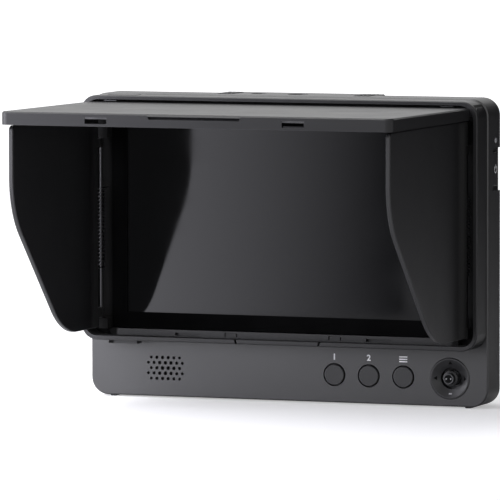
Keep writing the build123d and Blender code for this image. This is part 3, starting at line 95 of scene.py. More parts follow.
# ---- floor and studio light -------------------------------------------------
# A pale floor under the feet in a white room. A graded screen glows at the left in front, a soft
# box hangs overhead, and a black flag and a grey cloth keep the right-hand walls in shade.
FLOOR_HALF = 8.0
FLOOR_COLOUR = (0.80, 0.80, 0.80, 1)
FLOOR_LIFT = (0.10, 0.80)
FLOOR_WHITER = 0.30
LIFT_REACH = (0.25, 1.6)
ROOM_LIGHT = 0.28
ROOM_TINT = (0.985, 0.98, 1.06, 1)
TOP_BOX = {"place": (-0.40, 0.05, 0.85), "size": (0.9, 0.7), "watts": 6.0}
SCREEN_GLOW = 7.2
SCREEN_HALF = (0.24, 0.22)
SCREEN_TURN = math.radians(-21)
SCREEN_FADE = 0.17
SCREEN_EDGE = (-0.07, -0.315)
FLAG_X = 0.24
FLAG_Y = (0.0, 2.6)
FLAG_TOP = 0.9
FELT_BLACK = (0.01, 0.01, 0.01, 1)
CLOTH_GREY = (0.46, 0.46, 0.46, 1)
CLOTH_X = 0.068
CLOTH_LIFT = 0.001


def put(tree, kind, sockets=None, **settings):
    """A shader node with its settings and its unlinked sockets."""
    made = tree.nodes.new("ShaderNode" + kind)
    for name, value in settings.items():
        setattr(made, name, value)
    for name, value in (sockets or {}).items():
        made.inputs[name].default_value = value
    return made


def wire(tree, source, output, target, socket):
    tree.links.new(source.outputs[output], target.inputs[socket])


def seen_directly(tree):
    """1 for what the eye, a reflection or a clear piece sees, 0 for light that falls on things."""
    path = put(tree, "LightPath")
    either = put(tree, "Math", operation="ADD", use_clamp=True)
    every = put(tree, "Math", operation="ADD", use_clamp=True)
    wire(tree, path, "Is Camera Ray", either, 0)
    wire(tree, path, "Is Glossy Ray", either, 1)
    wire(tree, either, "Value", every, 0)
    wire(tree, path, "Is Transmission Ray", every, 1)
    return every


def stage_sheet(name, corners, material):
    """A flat sheet of the studio, from its four corners."""
    bm = bmesh.new()
    bm.faces.new([bm.verts.new(corner) for corner in corners])
    mesh = bpy.data.meshes.new(name)
    bm.to_mesh(mesh)
    bm.free()
    mesh.materials.append(material)
    sheet = bpy.data.objects.new(name, mesh)
    bpy.context.scene.collection.objects.link(sheet)
    return sheet


def blank(name):
    """A new material or world without nodes but its output."""
    made = bpy.data.worlds.new(name) if name == "white_room" else bpy.data.materials.new(name)
    made.use_nodes = True
    made.node_tree.nodes.clear()
    return made, made.node_tree


room, tree = blank("white_room")
bpy.context.scene.world = room
lit = put(tree, "Background", {"Color": ROOM_TINT, "Strength": ROOM_LIGHT})
shown = put(tree, "Background", {"Color": (1, 1, 1, 1), "Strength": 1.0})
choice = put(tree, "MixShader")
wire(tree, seen_directly(tree), "Value", choice, 0)
wire(tree, lit, "Background", choice, 1)
wire(tree, shown, "Background", choice, 2)
wire(tree, choice, "Shader", put(tree, "OutputWorld"), "Surface")

paper, tree = blank("floor_paper")
matt = put(tree, "BsdfDiffuse", {"Color": FLOOR_COLOUR})
lift = put(tree, "Emission", {"Color": (1, 1, 1, 1)})
away = put(tree, "VectorMath", operation="LENGTH")
grade = put(tree, "MapRange", {"From Min": LIFT_REACH[0], "From Max": LIFT_REACH[1],
                               "To Min": FLOOR_LIFT[0], "To Max": FLOOR_LIFT[1]})
amount = put(tree, "Math", operation="MULTIPLY")
whiter = put(tree, "Math", {1: FLOOR_WHITER}, operation="MULTIPLY")
total = put(tree, "Math", operation="ADD")
both = put(tree, "AddShader")
wire(tree, put(tree, "TexCoord"), "Object", away, 0)
wire(tree, away, "Value", grade, "Value")
wire(tree, seen_directly(tree), "Value", amount, 0)
wire(tree, grade, "Result", amount, 1)
wire(tree, put(tree, "LightPath"), "Is Camera Ray", whiter, 0)
wire(tree, amount, "Value", total, 0)
wire(tree, whiter, "Value", total, 1)
wire(tree, total, "Value", lift, "Strength")
wire(tree, matt, "BSDF", both, 0)
wire(tree, lift, "Emission", both, 1)
wire(tree, both, "Shader", put(tree, "OutputMaterial"), "Surface")
FLOOR_Z = cad_box[0][2]
stage_sheet("floor", [(-FLOOR_HALF, -FLOOR_HALF, FLOOR_Z), (FLOOR_HALF, -FLOOR_HALF, FLOOR_Z),
                      (FLOOR_HALF, FLOOR_HALF, FLOOR_Z), (-FLOOR_HALF, FLOOR_HALF, FLOOR_Z)], paper)

lamp = bpy.data.lights.new("top_box", "AREA")
lamp.shape = "RECTANGLE"
lamp.size, lamp.size_y = TOP_BOX["size"]
lamp.energy = TOP_BOX["watts"]
box = bpy.data.objects.new("top_box", lamp)
bpy.context.scene.collection.objects.link(box)
aim = Vector((0, -0.02, 0.045)) - Vector(TOP_BOX["place"])
box.matrix_world = Matrix.Translation(TOP_BOX["place"]) @ aim.to_track_quat("-Z", "Y").to_matrix().to_4x4()
box.visible_camera = False

glow, tree = blank("screen_glow")
light = put(tree, "Emission", {"Color": ROOM_TINT})
parts = put(tree, "SeparateXYZ")
fade = put(tree, "MapRange", {"From Min": SCREEN_EDGE[0], "From Max": SCREEN_EDGE[0] - SCREEN_FADE,
                              "To Min": 0.0, "To Max": SCREEN_GLOW})
wire(tree, put(tree, "TexCoord"), "Object", parts, "Vector")
wire(tree, parts, "X", fade, "Value")
wire(tree, fade, "Result", light, "Strength")
wire(tree, light, "Emission", put(tree, "OutputMaterial"), "Surface")
near = Vector((SCREEN_EDGE[0], SCREEN_EDGE[1], 0))
far = near + Vector((-math.cos(SCREEN_TURN), -math.sin(SCREEN_TURN), 0)) * 2 * SCREEN_HALF[0]
screen = stage_sheet("graded_screen", [(far.x, far.y, FLOOR_Z), (near.x, near.y, FLOOR_Z),
                                       (near.x, near.y, 2 * SCREEN_HALF[1]),
                                       (far.x, far.y, 2 * SCREEN_HALF[1])], glow)
screen.visible_camera = False

felt, tree = blank("flag_felt")
matt = put(tree, "BsdfDiffuse", {"Color": FELT_BLACK})
wire(tree, matt, "BSDF", put(tree, "OutputMaterial"), "Surface")
flag = stage_sheet("flag", [(FLAG_X, FLAG_Y[0], FLOOR_Z), (FLAG_X, FLAG_Y[1], FLOOR_Z),
                            (FLAG_X, FLAG_Y[1], FLAG_TOP), (FLAG_X, FLAG_Y[0], FLAG_TOP)], felt)
flag.visible_camera = False

CLOTH_Z = FLOOR_Z + CLOTH_LIFT
grey, tree = blank("grey_cloth")
matt = put(tree, "BsdfDiffuse", {"Color": CLOTH_GREY})
wire(tree, matt, "BSDF", put(tree, "OutputMaterial"), "Surface")
cloth = stage_sheet("floor_cloth", [(CLOTH_X, FLAG_Y[0], CLOTH_Z), (FLAG_X, FLAG_Y[0], CLOTH_Z),
                                    (FLAG_X, FLAG_Y[1], CLOTH_Z), (CLOTH_X, FLAG_Y[1], CLOTH_Z)], grey)
cloth.visible_camera = cloth.visible_diffuse = cloth.visible_shadow = False


# ---- housing ----------------------------------------------------------------
# Two shells of black glass-filled plastic, moulded with a fine spark texture. The front carries
# the controls, the back the sockets and the battery bay.
SHELL_BLACK = (0.014, 0.014, 0.015, 1)
SHELL_WORN = (0.06, 0.06, 0.062, 1)
SHELL_ROUGH = 0.44
SHELL_IOR = 1.58


def effect_group(name, takes, gives):
    """An empty shader group with its named inputs and outputs."""
    group = bpy.data.node_groups.new(name, "ShaderNodeTree")
    for label, kind, value in takes:
        socket = group.interface.new_socket(label, in_out="INPUT", socket_type="NodeSocket" + kind)
        if value is not None:
            socket.default_value = value
    for label, kind in gives:
        group.interface.new_socket(label, in_out="OUTPUT", socket_type="NodeSocket" + kind)
    return group, group.nodes.new("NodeGroupInput"), group.nodes.new("NodeGroupOutput")


grain_group, given, found = effect_group(
    "moulded_grain",
    [("Place", "Vector", None), ("Cells", "Float", 3000.0), ("Depth", "Float", 1.0)],
    [("Height", "Float"), ("Tone", "Float")])
fine = put(grain_group, "TexNoise", {"Detail": 3.0, "Roughness": 0.6})
pits = put(grain_group, "TexVoronoi", {"Randomness": 1.0})
blend = put(grain_group, "Math", operation="MULTIPLY")
deep = put(grain_group, "Math", operation="MULTIPLY")
for texture in (fine, pits):
    wire(grain_group, given, "Place", texture, "Vector")
    wire(grain_group, given, "Cells", texture, "Scale")
wire(grain_group, fine, "Fac", blend, 0)
wire(grain_group, pits, "Distance", blend, 1)
wire(grain_group, blend, "Value", deep, 0)
wire(grain_group, given, "Depth", deep, 1)
wire(grain_group, deep, "Value", found, "Height")
wire(grain_group, fine, "Fac", found, "Tone")

wear_group, given, found = effect_group(
    "edge_wear",
    [("Place", "Vector", None), ("Width", "Float", 0.0004), ("Amount", "Float", 0.5)],
    [("Mask", "Float")])
rounded = put(wear_group, "Bevel", samples=6)
surface = put(wear_group, "NewGeometry")
turn = put(wear_group, "VectorMath", operation="DOT_PRODUCT")
edge = put(wear_group, "MapRange", {"From Min": 0.995, "From Max": 0.90, "To Min": 0.0, "To Max": 1.0})
rubs = put(wear_group, "TexNoise", {"Scale": 220.0, "Detail": 4.0, "Roughness": 0.65})
patchy = put(wear_group, "MapRange", {"From Min": 0.35, "From Max": 0.7, "To Min": 0.25, "To Max": 1.0})
worn = put(wear_group, "Math", operation="MULTIPLY")
scaled = put(wear_group, "Math", operation="MULTIPLY", use_clamp=True)
wire(wear_group, given, "Width", rounded, "Radius")
wire(wear_group, rounded, "Normal", turn, 0)
wire(wear_group, surface, "Normal", turn, 1)
wire(wear_group, turn, "Value", edge, "Value")
wire(wear_group, given, "Place", rubs, "Vector")
wire(wear_group, rubs, "Fac", patchy, "Value")
wire(wear_group, edge, "Result", worn, 0)
wire(wear_group, patchy, "Result", worn, 1)
wire(wear_group, worn, "Value", scaled, 0)
wire(wear_group, given, "Amount", scaled, 1)
wire(wear_group, scaled, "Value", found, "Mask")

dust_group, given, found = effect_group(
    "settled_dust",
    [("Place", "Vector", None), ("Amount", "Float", 0.1)],
    [("Mask", "Float")])
surface = put(dust_group, "NewGeometry")
height = put(dust_group, "SeparateXYZ")
level_face = put(dust_group, "MapRange", {"From Min": 0.3, "From Max": 1.0})
specks = put(dust_group, "TexNoise", {"Scale": 900.0, "Detail": 5.0, "Roughness": 0.7})
sparse = put(dust_group, "MapRange", {"From Min": 0.48, "From Max": 0.75})
lying = put(dust_group, "Math", operation="MULTIPLY")
scaled = put(dust_group, "Math", operation="MULTIPLY", use_clamp=True)
wire(dust_group, surface, "Normal", height, "Vector")
wire(dust_group, height, "Z", level_face, "Value")
wire(dust_group, given, "Place", specks, "Vector")
wire(dust_group, specks, "Fac", sparse, "Value")
wire(dust_group, level_face, "Result", lying, 0)
wire(dust_group, sparse, "Result", lying, 1)
wire(dust_group, lying, "Value", scaled, 0)
wire(dust_group, given, "Amount", scaled, 1)
wire(dust_group, scaled, "Value", found, "Mask")


def apply_group(tree, group, place, **values):
    """One use of an effect group, reading the piece's own coordinates."""
    used = tree.nodes.new("ShaderNodeGroup")
    used.node_tree = group
    wire(tree, place, "Object", used, "Place")
    for name, value in values.items():
        used.inputs[name].default_value = value
    return used


def mix_colour(tree, mask, output, first, second):
    """A colour that goes from first to second with a mask; each is a colour or a node."""
    mix = put(tree, "Mix", data_type="RGBA")
    wire(tree, mask, output, mix, "Factor")
    for socket, given_colour in (("A", first), ("B", second)):
        slot = next(s for s in mix.inputs if s.name == socket and s.type == "RGBA")
        if isinstance(given_colour, tuple):
            slot.default_value = given_colour
        else:
            tree.links.new(next(s for s in given_colour.outputs if s.type == "RGBA"), slot)
    return mix


def finished(name, colour, worn_colour, rough, rough_change=0.1, cells=3200.0, depth=1.0, bump=0.25,
             wear=0.5, wear_width=0.0004, dust=0.12, tone=0.18, patches=55.0, metallic=0.0, ior=1.5,
             gloss=0.5):
    """A grained finish with handling marks, rubbed edges and a little dust."""
    material = bpy.data.materials.new(name)
    material.use_nodes = True
    tree = material.node_tree
    shader = tree.nodes["Principled BSDF"]
    shader.inputs["Metallic"].default_value = metallic
    shader.inputs["IOR"].default_value = ior
    shader.inputs["Specular IOR Level"].default_value = gloss
    place = put(tree, "TexCoord")
    grain = apply_group(tree, grain_group, place, Cells=cells, Depth=depth)
    rubbed = apply_group(tree, wear_group, place, Width=wear_width, Amount=wear)
    settled = apply_group(tree, dust_group, place, Amount=dust)
    clouds = put(tree, "TexNoise", {"Scale": patches, "Detail": 4.0, "Roughness": 0.6})
    wire(tree, place, "Object", clouds, "Vector")
    shade = put(tree, "MapRange", {"From Min": 0.3, "From Max": 0.7, "To Min": 0.0, "To Max": tone})
    wire(tree, grain, "Tone", shade, "Value")
    darker = tuple(value * 0.45 for value in colour[:3]) + (1,)
    base = mix_colour(tree, shade, "Result", colour, darker)
    base = mix_colour(tree, rubbed, "Mask", base, worn_colour)
    base = mix_colour(tree, settled, "Mask", base, (0.32, 0.31, 0.30, 1))
    tree.links.new(next(s for s in base.outputs if s.type == "RGBA"), shader.inputs["Base Color"])
    change = put(tree, "MapRange", {"From Min": 0.3, "From Max": 0.7, "To Min": rough - rough_change,
                                    "To Max": rough + rough_change})
    wire(tree, clouds, "Fac", change, "Value")
    wire(tree, change, "Result", shader, "Roughness")
    relief = put(tree, "Bump", {"Strength": bump, "Distance": 0.00002})
    wire(tree, grain, "Height", relief, "Height")
    wire(tree, relief, "Normal", shader, "Normal")
    return material


def dress(material, *names):
    """Gives a material to CAD nodes."""
    for name in names:
        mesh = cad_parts[name].data
        if not mesh.materials:
            mesh.materials.append(material)
        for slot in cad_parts[name].material_slots:
            slot.material = material


shell = finished("shell_moulding", SHELL_BLACK, SHELL_WORN, SHELL_ROUGH, rough_change=0.03, ior=SHELL_IOR,
                 gloss=0.66)
dress(shell, "front_shell", "rear_cover", "top_grips")


# ---- feet -------------------------------------------------------------------
# Two thin pads of soft black rubber, let into the bottom face so that the monitor doesn't slide
# on a table.
RUBBER_BLACK = (0.028, 0.028, 0.03, 1)
RUBBER_WORN = (0.09, 0.09, 0.095, 1)
rubber = finished("rubber", RUBBER_BLACK, RUBBER_WORN, 0.75, cells=1800.0, bump=0.4, dust=0.3, wear=0.3)
dress(rubber, "bottom_feet")


# ---- display ----------------------------------------------------------------
# A pane of glass over the panel, in a matt black surround pressed into the front shell.
SURROUND_BLACK = (0.0015, 0.0015, 0.0017, 1)
PANE_DARK = (0.0035, 0.0037, 0.0042, 1)
PANE_SMEARED = (0.0055, 0.0058, 0.0064, 1)
PANE_IOR = 1.37
PANE_ROUGH = (0.05, 0.11)
surround = finished("surround_black", SURROUND_BLACK, (0.03, 0.03, 0.032, 1), 0.8, wear=0.1, dust=0.01,
                    ior=1.3, gloss=0.1)
dress(surround, "display_bezel")

pane = bpy.data.materials.new("pane_glass")
pane.use_nodes = True
tree = pane.node_tree
shader = tree.nodes["Principled BSDF"]
shader.inputs["IOR"].default_value = PANE_IOR
place = put(tree, "TexCoord")
smears = put(tree, "TexNoise", {"Scale": 26.0, "Detail": 3.0, "Roughness": 0.55, "Distortion": 0.8})
haze = put(tree, "MapRange", {"From Min": 0.45, "From Max": 0.75, "To Min": PANE_ROUGH[0],
                              "To Max": PANE_ROUGH[1]})
wire(tree, place, "Object", smears, "Vector")
wire(tree, smears, "Fac", haze, "Value")
wire(tree, haze, "Result", shader, "Roughness")
cloudy = put(tree, "MapRange", {"From Min": 0.3, "From Max": 0.7, "To Min": 0.0, "To Max": 0.4})
wire(tree, smears, "Fac", cloudy, "Value")
tint = mix_colour(tree, cloudy, "Result", PANE_DARK, PANE_SMEARED)
tree.links.new(next(s for s in tint.outputs if s.type == "RGBA"), shader.inputs["Base Color"])
dress(pane, "cover_glass")

stack = finished("panel_stack", (0.05, 0.05, 0.055, 1), (0.3, 0.3, 0.31, 1), 0.35, wear=0.2, dust=0.0)
dress(stack, "lcd_panel", "backlight_unit")


# ---- boards, switches and speaker -------------------------------------------
# Glass-fibre circuit boards under green lacquer, with push switches behind the buttons and a
# small oval loudspeaker behind the grille.
BOARD_GREEN = (0.012, 0.075, 0.035, 1)
board = finished("board_lacquer", BOARD_GREEN, (0.35, 0.30, 0.16, 1), 0.3, cells=900.0, bump=0.1, dust=0.0)
dress(board, "main_board", "key_board")
dress(finished("switch_plastic", (0.02, 0.02, 0.022, 1), (0.1, 0.1, 0.1, 1), 0.5), "key_switches",
      "power_switch")
dress(finished("speaker_steel", (0.03, 0.03, 0.032, 1), (0.2, 0.2, 0.2, 1), 0.5, metallic=0.4),
      "speaker_driver")


# ---- joystick ---------------------------------------------------------------
# A dished collar of shiny black plastic, pressed into the front shell, round a small black stick on a gimbal.
# Four marks lie in the dish; the lower one is drawn pale as a painted glint. The stick's hollow tip has a
# grey rim.
COLLAR_BLACK = (0.018, 0.018, 0.019, 1)
CAP_GREY = (0.012, 0.012, 0.0125, 1)
collar = finished("collar_black", COLLAR_BLACK, (0.12, 0.12, 0.125, 1), 0.36, rough_change=0.03, bump=0.08)
dress(collar, "joystick_ring", "joystick_base")
stick_grey = finished("stick_grey", CAP_GREY, (0.16, 0.16, 0.165, 1), 0.4)
dress(stick_grey, "joystick_cap")
dress(finished("gimbal_plastic", (0.05, 0.05, 0.052, 1), (0.2, 0.2, 0.2, 1), 0.5), "joystick_gimbal",
      "joystick_stem")

MM = 0.001
ARROW_REACH = 4.6 * MM
ARROW_RADIUS = 0.82 * MM
ARROW_THICKNESS = 0.1 * MM
TICK_SIZE = (1.0 * MM, 0.44 * MM, ARROW_THICKNESS)
DISH_EDGE = 5.7 * MM
DISH_SLOPE = math.radians(27.9)
TIP_RIM = ((1.20, 0.0), (1.20, 0.05), (1.30, 0.22), (1.46, 0.25), (1.58, 0.16), (1.60, 0.0))
TIP_DISH = ((0.0, 0.03), (0.9, 0.03), (1.17, 0.11), (1.19, 0.0), (0.0, 0.0))
PIP_RADIUS = 0.26 * MM
PIP_REACH = 0.72 * MM
PIP_LIFT = 0.08 * MM
PIP_THICKNESS = 0.1 * MM
MERGE_UNDER = 0.002 * MM


def as_piece(name, bm, material, body, sharp_over=35):
    """A finished mesh as a piece of its own, shaded smooth but for its sharp edges."""
    bmesh.ops.remove_doubles(bm, verts=bm.verts, dist=MERGE_UNDER)
    bmesh.ops.recalc_face_normals(bm, faces=bm.faces)
    mesh = bpy.data.meshes.new(name)
    bm.to_mesh(mesh)
    bm.free()
    mesh.materials.append(material)
    mesh.shade_smooth()
    mesh.set_sharp_from_angle(angle=math.radians(sharp_over))
    piece = bpy.data.objects.new(name, mesh)
    bpy.context.scene.collection.objects.link(piece)
    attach(piece, body)
    return piece


def centre_of(node):
    """The middle of a CAD node's box."""
    low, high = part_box(node)
    return (Vector(low) + Vector(high)) / 2


def facing(origin, across, up):
    """Turns a shape drawn flat, so that its X runs along across and its Y along up."""
    out = across.cross(up)
    return Matrix.Translation(origin) @ Matrix((across, up, out)).transposed().to_4x4()


def bar(bm, size, place, rounding):
    """A small block with eased edges."""
    verts = bmesh.ops.create_cube(bm, size=1.0, matrix=place @ Matrix.Diagonal((*size, 1)))["verts"]
    edges = list({edge for vert in verts for edge in vert.link_edges})
    bmesh.ops.bevel(bm, geom=edges, offset=rounding, offset_type="OFFSET", segments=2, profile=0.5,
                    affect="EDGES", material=-1)


def turned(bm, profile, place, steps=32):
    """A ring or a disc from (radius, height) points in millimetres, turned round its own Z axis."""
    verts = [bm.verts.new((radius * MM, 0, height * MM)) for radius, height in profile]
    edges = [bm.edges.new(pair) for pair in zip(verts, verts[1:])]
    if profile[0][0]:
        edges.append(bm.edges.new((verts[-1], verts[0])))
    bmesh.ops.spin(bm, geom=verts + edges, cent=(0, 0, 0), axis=(0, 0, 1), angle=2 * math.pi, steps=steps,
                   use_merge=True)
    bmesh.ops.transform(bm, matrix=place, verts=bm.verts)


dish_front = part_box("joystick_ring")[0][1]
stick_axis = centre_of("joystick_ring")
ink = finished("arrow_black", (0.002, 0.002, 0.002, 1), (0.03, 0.03, 0.03, 1), 0.85, bump=0.05, dust=0.0,
               ior=1.3, gloss=0.1)
# Pale for the pips on the tip; on the down mark the pale colour is a painted glint.
pale = finished("pale_mark_and_painted_glint", (0.45, 0.45, 0.46, 1), (0.7, 0.7, 0.7, 1), 0.4, bump=0.05, dust=0.0, tone=0.1)
sunk = (DISH_EDGE - ARROW_REACH) * math.tan(DISH_SLOPE)
for label, turn in (("right", 0), ("up", 90), ("left", 180), ("down", 270)):
    out = Vector((math.cos(math.radians(turn)), 0, math.sin(math.radians(turn))))
    forward = Vector((0, -1, 0))
    slope = out * math.cos(DISH_SLOPE) + forward * math.sin(DISH_SLOPE)
    origin = Vector((stick_axis.x, dish_front + sunk, stick_axis.z)) + out * ARROW_REACH
    place = facing(origin, slope.cross(forward * math.cos(DISH_SLOPE) - out * math.sin(DISH_SLOPE)), slope)
    bm = bmesh.new()
    # The down mark is a pale bar: a painted glint where it catches the light.
    if label == "down":
        bar(bm, TICK_SIZE, place, ARROW_THICKNESS / 3)
    else:
        bmesh.ops.create_cone(bm, cap_ends=True, segments=3, radius1=ARROW_RADIUS,
                              radius2=ARROW_RADIUS * 0.85, depth=ARROW_THICKNESS, matrix=place)
    as_piece("stick_mark_" + label, bm, pale if label == "down" else ink, "monitor")

tip_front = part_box("joystick_cap")[0][1]
tip_place = facing(Vector((stick_axis.x, tip_front, stick_axis.z)), Vector((1, 0, 0)), Vector((0, 0, 1)))
bm = bmesh.new()
turned(bm, TIP_RIM, tip_place)
tip_grey = finished("tip_grey", (0.06, 0.06, 0.062, 1), (0.2, 0.2, 0.205, 1), 0.35)
as_piece("stick_tip_rim", bm, tip_grey, "joystick_cap")
bm = bmesh.new()
turned(bm, TIP_DISH, tip_place)
as_piece("stick_tip_dish", bm, ink, "joystick_cap")
bm = bmesh.new()
for reach in (-PIP_REACH, PIP_REACH):
    spot = Matrix.Translation((reach, 0, PIP_LIFT))
    bmesh.ops.create_cone(bm, cap_ends=True, segments=8, radius1=PIP_RADIUS, radius2=PIP_RADIUS * 0.6,
                          depth=PIP_THICKNESS, matrix=tip_place @ spot)
as_piece("stick_tip_pips", bm, pale, "joystick_cap")


# ---- buttons ----------------------------------------------------------------
# Three round keys of dark grey plastic, each with a softly crowned face, in holes of the front
# shell. Their signs are printed in white above them: a 1, a 2 and three bars.
BUTTON_GREY = (0.022, 0.022, 0.023, 1)
key_plastic = finished("key_plastic", BUTTON_GREY, (0.2, 0.2, 0.205, 1), 0.42, bump=0.15)
dress(key_plastic, "button_1", "button_2", "button_menu")

LABEL_LIFT = 5.35 * MM
LABEL_HEIGHT = 1.8 * MM
LABEL_SIZE = 2.5 * MM
LABEL_BOLDER = 0.08 * MM
INK_THICKNESS = 0.02 * MM
MENU_BAR = (2.6 * MM, 0.36 * MM, INK_THICKNESS)
printed = finished("printed_white", (0.92, 0.92, 0.92, 1), (0.6, 0.6, 0.6, 1), 0.5, bump=0.05, wear=0.0,
                   dust=0.0, tone=0.05)
face_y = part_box("front_shell")[0][1] - INK_THICKNESS / 2
for node, figure in (("button_1", "1"), ("button_2", "2")):
    curve = bpy.data.curves.new(node + "_figure", "FONT")
    curve.body = figure
    curve.size = LABEL_SIZE
    curve.extrude = INK_THICKNESS / 2
    curve.offset = LABEL_BOLDER
    curve.align_x, curve.align_y = "CENTER", "CENTER"
    holder = bpy.data.objects.new(node + "_figure", curve)
    flat = bpy.data.meshes.new_from_object(holder)
    bpy.data.objects.remove(holder)
    middle = centre_of(node)
    flat.transform(facing(Vector((middle.x, face_y, middle.z + LABEL_LIFT)), Vector((1, 0, 0)),
                          Vector((0, 0, 1))))
    bm = bmesh.new()
    bm.from_mesh(flat)
    as_piece(node + "_label", bm, printed, "monitor")

middle = centre_of("button_menu")
bm = bmesh.new()
for row in (-1, 0, 1):
    at = Vector((middle.x, face_y, middle.z + LABEL_LIFT + row * (LABEL_HEIGHT - MENU_BAR[1]) / 2))
    bar(bm, MENU_BAR, facing(at, Vector((1, 0, 0)), Vector((0, 0, 1))), INK_THICKNESS / 3)
as_piece("button_menu_label", bm, printed, "monitor")


# ---- tripod sockets ---------------------------------------------------------
# Turned steel inserts with a quarter-inch thread, pressed into the bottom and top walls. The
# crest of each thread winds up inside its bore.
insert_steel = finished("insert_steel", (0.46, 0.46, 0.47, 1), (0.75, 0.75, 0.76, 1), 0.34, metallic=1.0,
                        cells=1500.0, bump=0.12, dust=0.04)
dress(insert_steel, "bottom_socket", "top_socket_block")

THREAD_RADIUS = 2.72 * MM
THREAD_PITCH = 1.27 * MM
THREAD_RIDGE = 0.26 * MM
THREAD_STEPS = 24
THREAD_START = 0.6 * MM


def loop_edges(geometry):
    """The open end among what an operator made."""
    return [e for e in geometry if isinstance(e, bmesh.types.BMEdge) and e.is_boundary]


def wind(bm, edges, axis, hand, turns, rise, steps):
    """Winds an open end round an upright axis, rising with each turn, and returns its new end."""
    verts = list({vert for edge in edges for vert in edge.verts})
    made = bmesh.ops.spin(bm, geom=verts + edges, cent=(axis.x, axis.y, 0), axis=(0, 0, hand),
                          dvec=(0, 0, rise / steps), angle=2 * math.pi * turns, steps=turns * steps)
    return loop_edges(made["geom_last"])


def thread_ridge(name, low, turns):
    """The crest of an internal thread, wound up from low."""
    bm = bmesh.new()
    start = (Matrix.Translation((THREAD_RADIUS - THREAD_RIDGE / 2, 0, low))
             @ Matrix.Rotation(math.pi / 2, 4, "X") @ Matrix.Rotation(math.pi / 2, 4, "Z"))
    bmesh.ops.create_circle(bm, segments=3, radius=THREAD_RIDGE, matrix=start)
    wind(bm, list(bm.edges), Vector((0, 0, 0)), 1, turns, THREAD_PITCH, THREAD_STEPS)
    bmesh.ops.holes_fill(bm, edges=[edge for edge in bm.edges if edge.is_boundary])
    as_piece(name, bm, insert_steel, "monitor")


thread_ridge("bottom_thread", THREAD_START, 4)
thread_ridge("top_thread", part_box("top_socket_block")[0][2] + THREAD_START, 5)


# ---- side sockets -----------------------------------------------------------
# Stamped and plated shells round black tongues with gold contacts, soldered to the main board,
# and a headphone jack of black plastic with a plated ring at its mouth.
plated = finished("plated_shell", (0.58, 0.57, 0.55, 1), (0.82, 0.81, 0.79, 1), 0.3, metallic=1.0,
                  cells=1500.0, bump=0.1, dust=0.03)
dress(plated, "hdmi_socket", "power_socket")
dress(finished("jack_plastic", (0.02, 0.02, 0.021, 1), (0.12, 0.12, 0.12, 1), 0.4), "headphone_jack")

JACK_Y = centre_of("hdmi_socket").y
JACK_RING = ((1.85, 0.0), (1.85, 0.35), (2.0, 0.45), (2.35, 0.45), (2.5, 0.35), (2.5, 0.0))
CONTACT_SIZE = (4.5 * MM, 0.35 * MM, 0.06 * MM)
CONTACT_INSET = 1.3 * MM
contact_gold = finished("contact_gold", (0.80, 0.60, 0.28, 1), (0.9, 0.75, 0.45, 1), 0.28, metallic=1.0,
                        bump=0.05, dust=0.0)
jack_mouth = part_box("headphone_jack")[0][0]
jack_axis = centre_of("headphone_jack")
bm = bmesh.new()
turned(bm, JACK_RING, facing(Vector((jack_mouth, JACK_Y, jack_axis.z)), Vector((0, -1, 0)),
                             Vector((0, 0, 1))))
as_piece("jack_ring", bm, plated, "monitor")
for socket, count, pitch, tongue in (("hdmi_socket", 10, 1.0 * MM, 0.6 * MM),
                                     ("power_socket", 6, 0.8 * MM, 0.35 * MM)):
    low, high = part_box(socket)
    middle = centre_of(socket)
    bm = bmesh.new()
    for n in range(count):
        at = Vector((low[0] + CONTACT_INSET + CONTACT_SIZE[0] / 2, JACK_Y - tongue,
                     middle.z + (n - (count - 1) / 2) * pitch))
        bar(bm, CONTACT_SIZE, facing(at, Vector((1, 0, 0)), Vector((0, 0, 1))), CONTACT_SIZE[2] / 3)
    as_piece(socket + "_contacts", bm, contact_gold, "monitor")


# ---- power slide and lamp ---------------------------------------------------
# A black plastic slide in a sunk track of the right-hand wall, with a plain sign printed on it in
# white, and a clear lamp above it.
slide_plastic = finished("slide_plastic", (0.022, 0.022, 0.024, 1), (0.12, 0.12, 0.12, 1), 0.42)
dress(slide_plastic, "power_slider")

SYMBOL_Y = -1.35 * MM
SYMBOL_RADIUS = 1.05 * MM
SYMBOL_LINE = 0.38 * MM
SYMBOL_OPENING = math.radians(80)
SYMBOL_STEM = (SYMBOL_LINE, 1.3 * MM, INK_THICKNESS)
SYMBOL_STEM_DROP = 0.25 * MM
knob_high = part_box("power_slider")[1]
symbol_place = facing(Vector((knob_high[0], SYMBOL_Y, centre_of("power_slider").z)), Vector((0, 1, 0)),
                      Vector((0, 0, 1)))
bm = bmesh.new()
line_end = (Matrix.Rotation(SYMBOL_OPENING / 2, 4, "Z") @ Matrix.Translation((0, SYMBOL_RADIUS, 0))
            @ Matrix.Rotation(math.pi / 2, 4, "Y") @ Matrix.Rotation(math.pi / 4, 4, "Z"))
ends = bmesh.ops.create_circle(bm, segments=4, radius=SYMBOL_LINE / math.sqrt(2), matrix=line_end)["verts"]
bmesh.ops.scale(bm, vec=(1, 1, INK_THICKNESS / SYMBOL_LINE), verts=ends)
bmesh.ops.spin(bm, geom=ends + list(bm.edges), cent=(0, 0, 0), axis=(0, 0, 1),
               angle=2 * math.pi - SYMBOL_OPENING, steps=28)
bmesh.ops.holes_fill(bm, edges=[edge for edge in bm.edges if edge.is_boundary])
bmesh.ops.transform(bm, matrix=symbol_place, verts=bm.verts)
stem_place = symbol_place @ Matrix.Translation((0, SYMBOL_RADIUS - SYMBOL_STEM_DROP, 0))
bar(bm, SYMBOL_STEM, stem_place, INK_THICKNESS / 3)
as_piece("power_symbol", bm, printed, "power_slider")
dress(finished("lamp_lens", (0.6, 0.61, 0.62, 1), (0.8, 0.8, 0.8, 1), 0.2, bump=0.03, dust=0.0), "power_lamp")


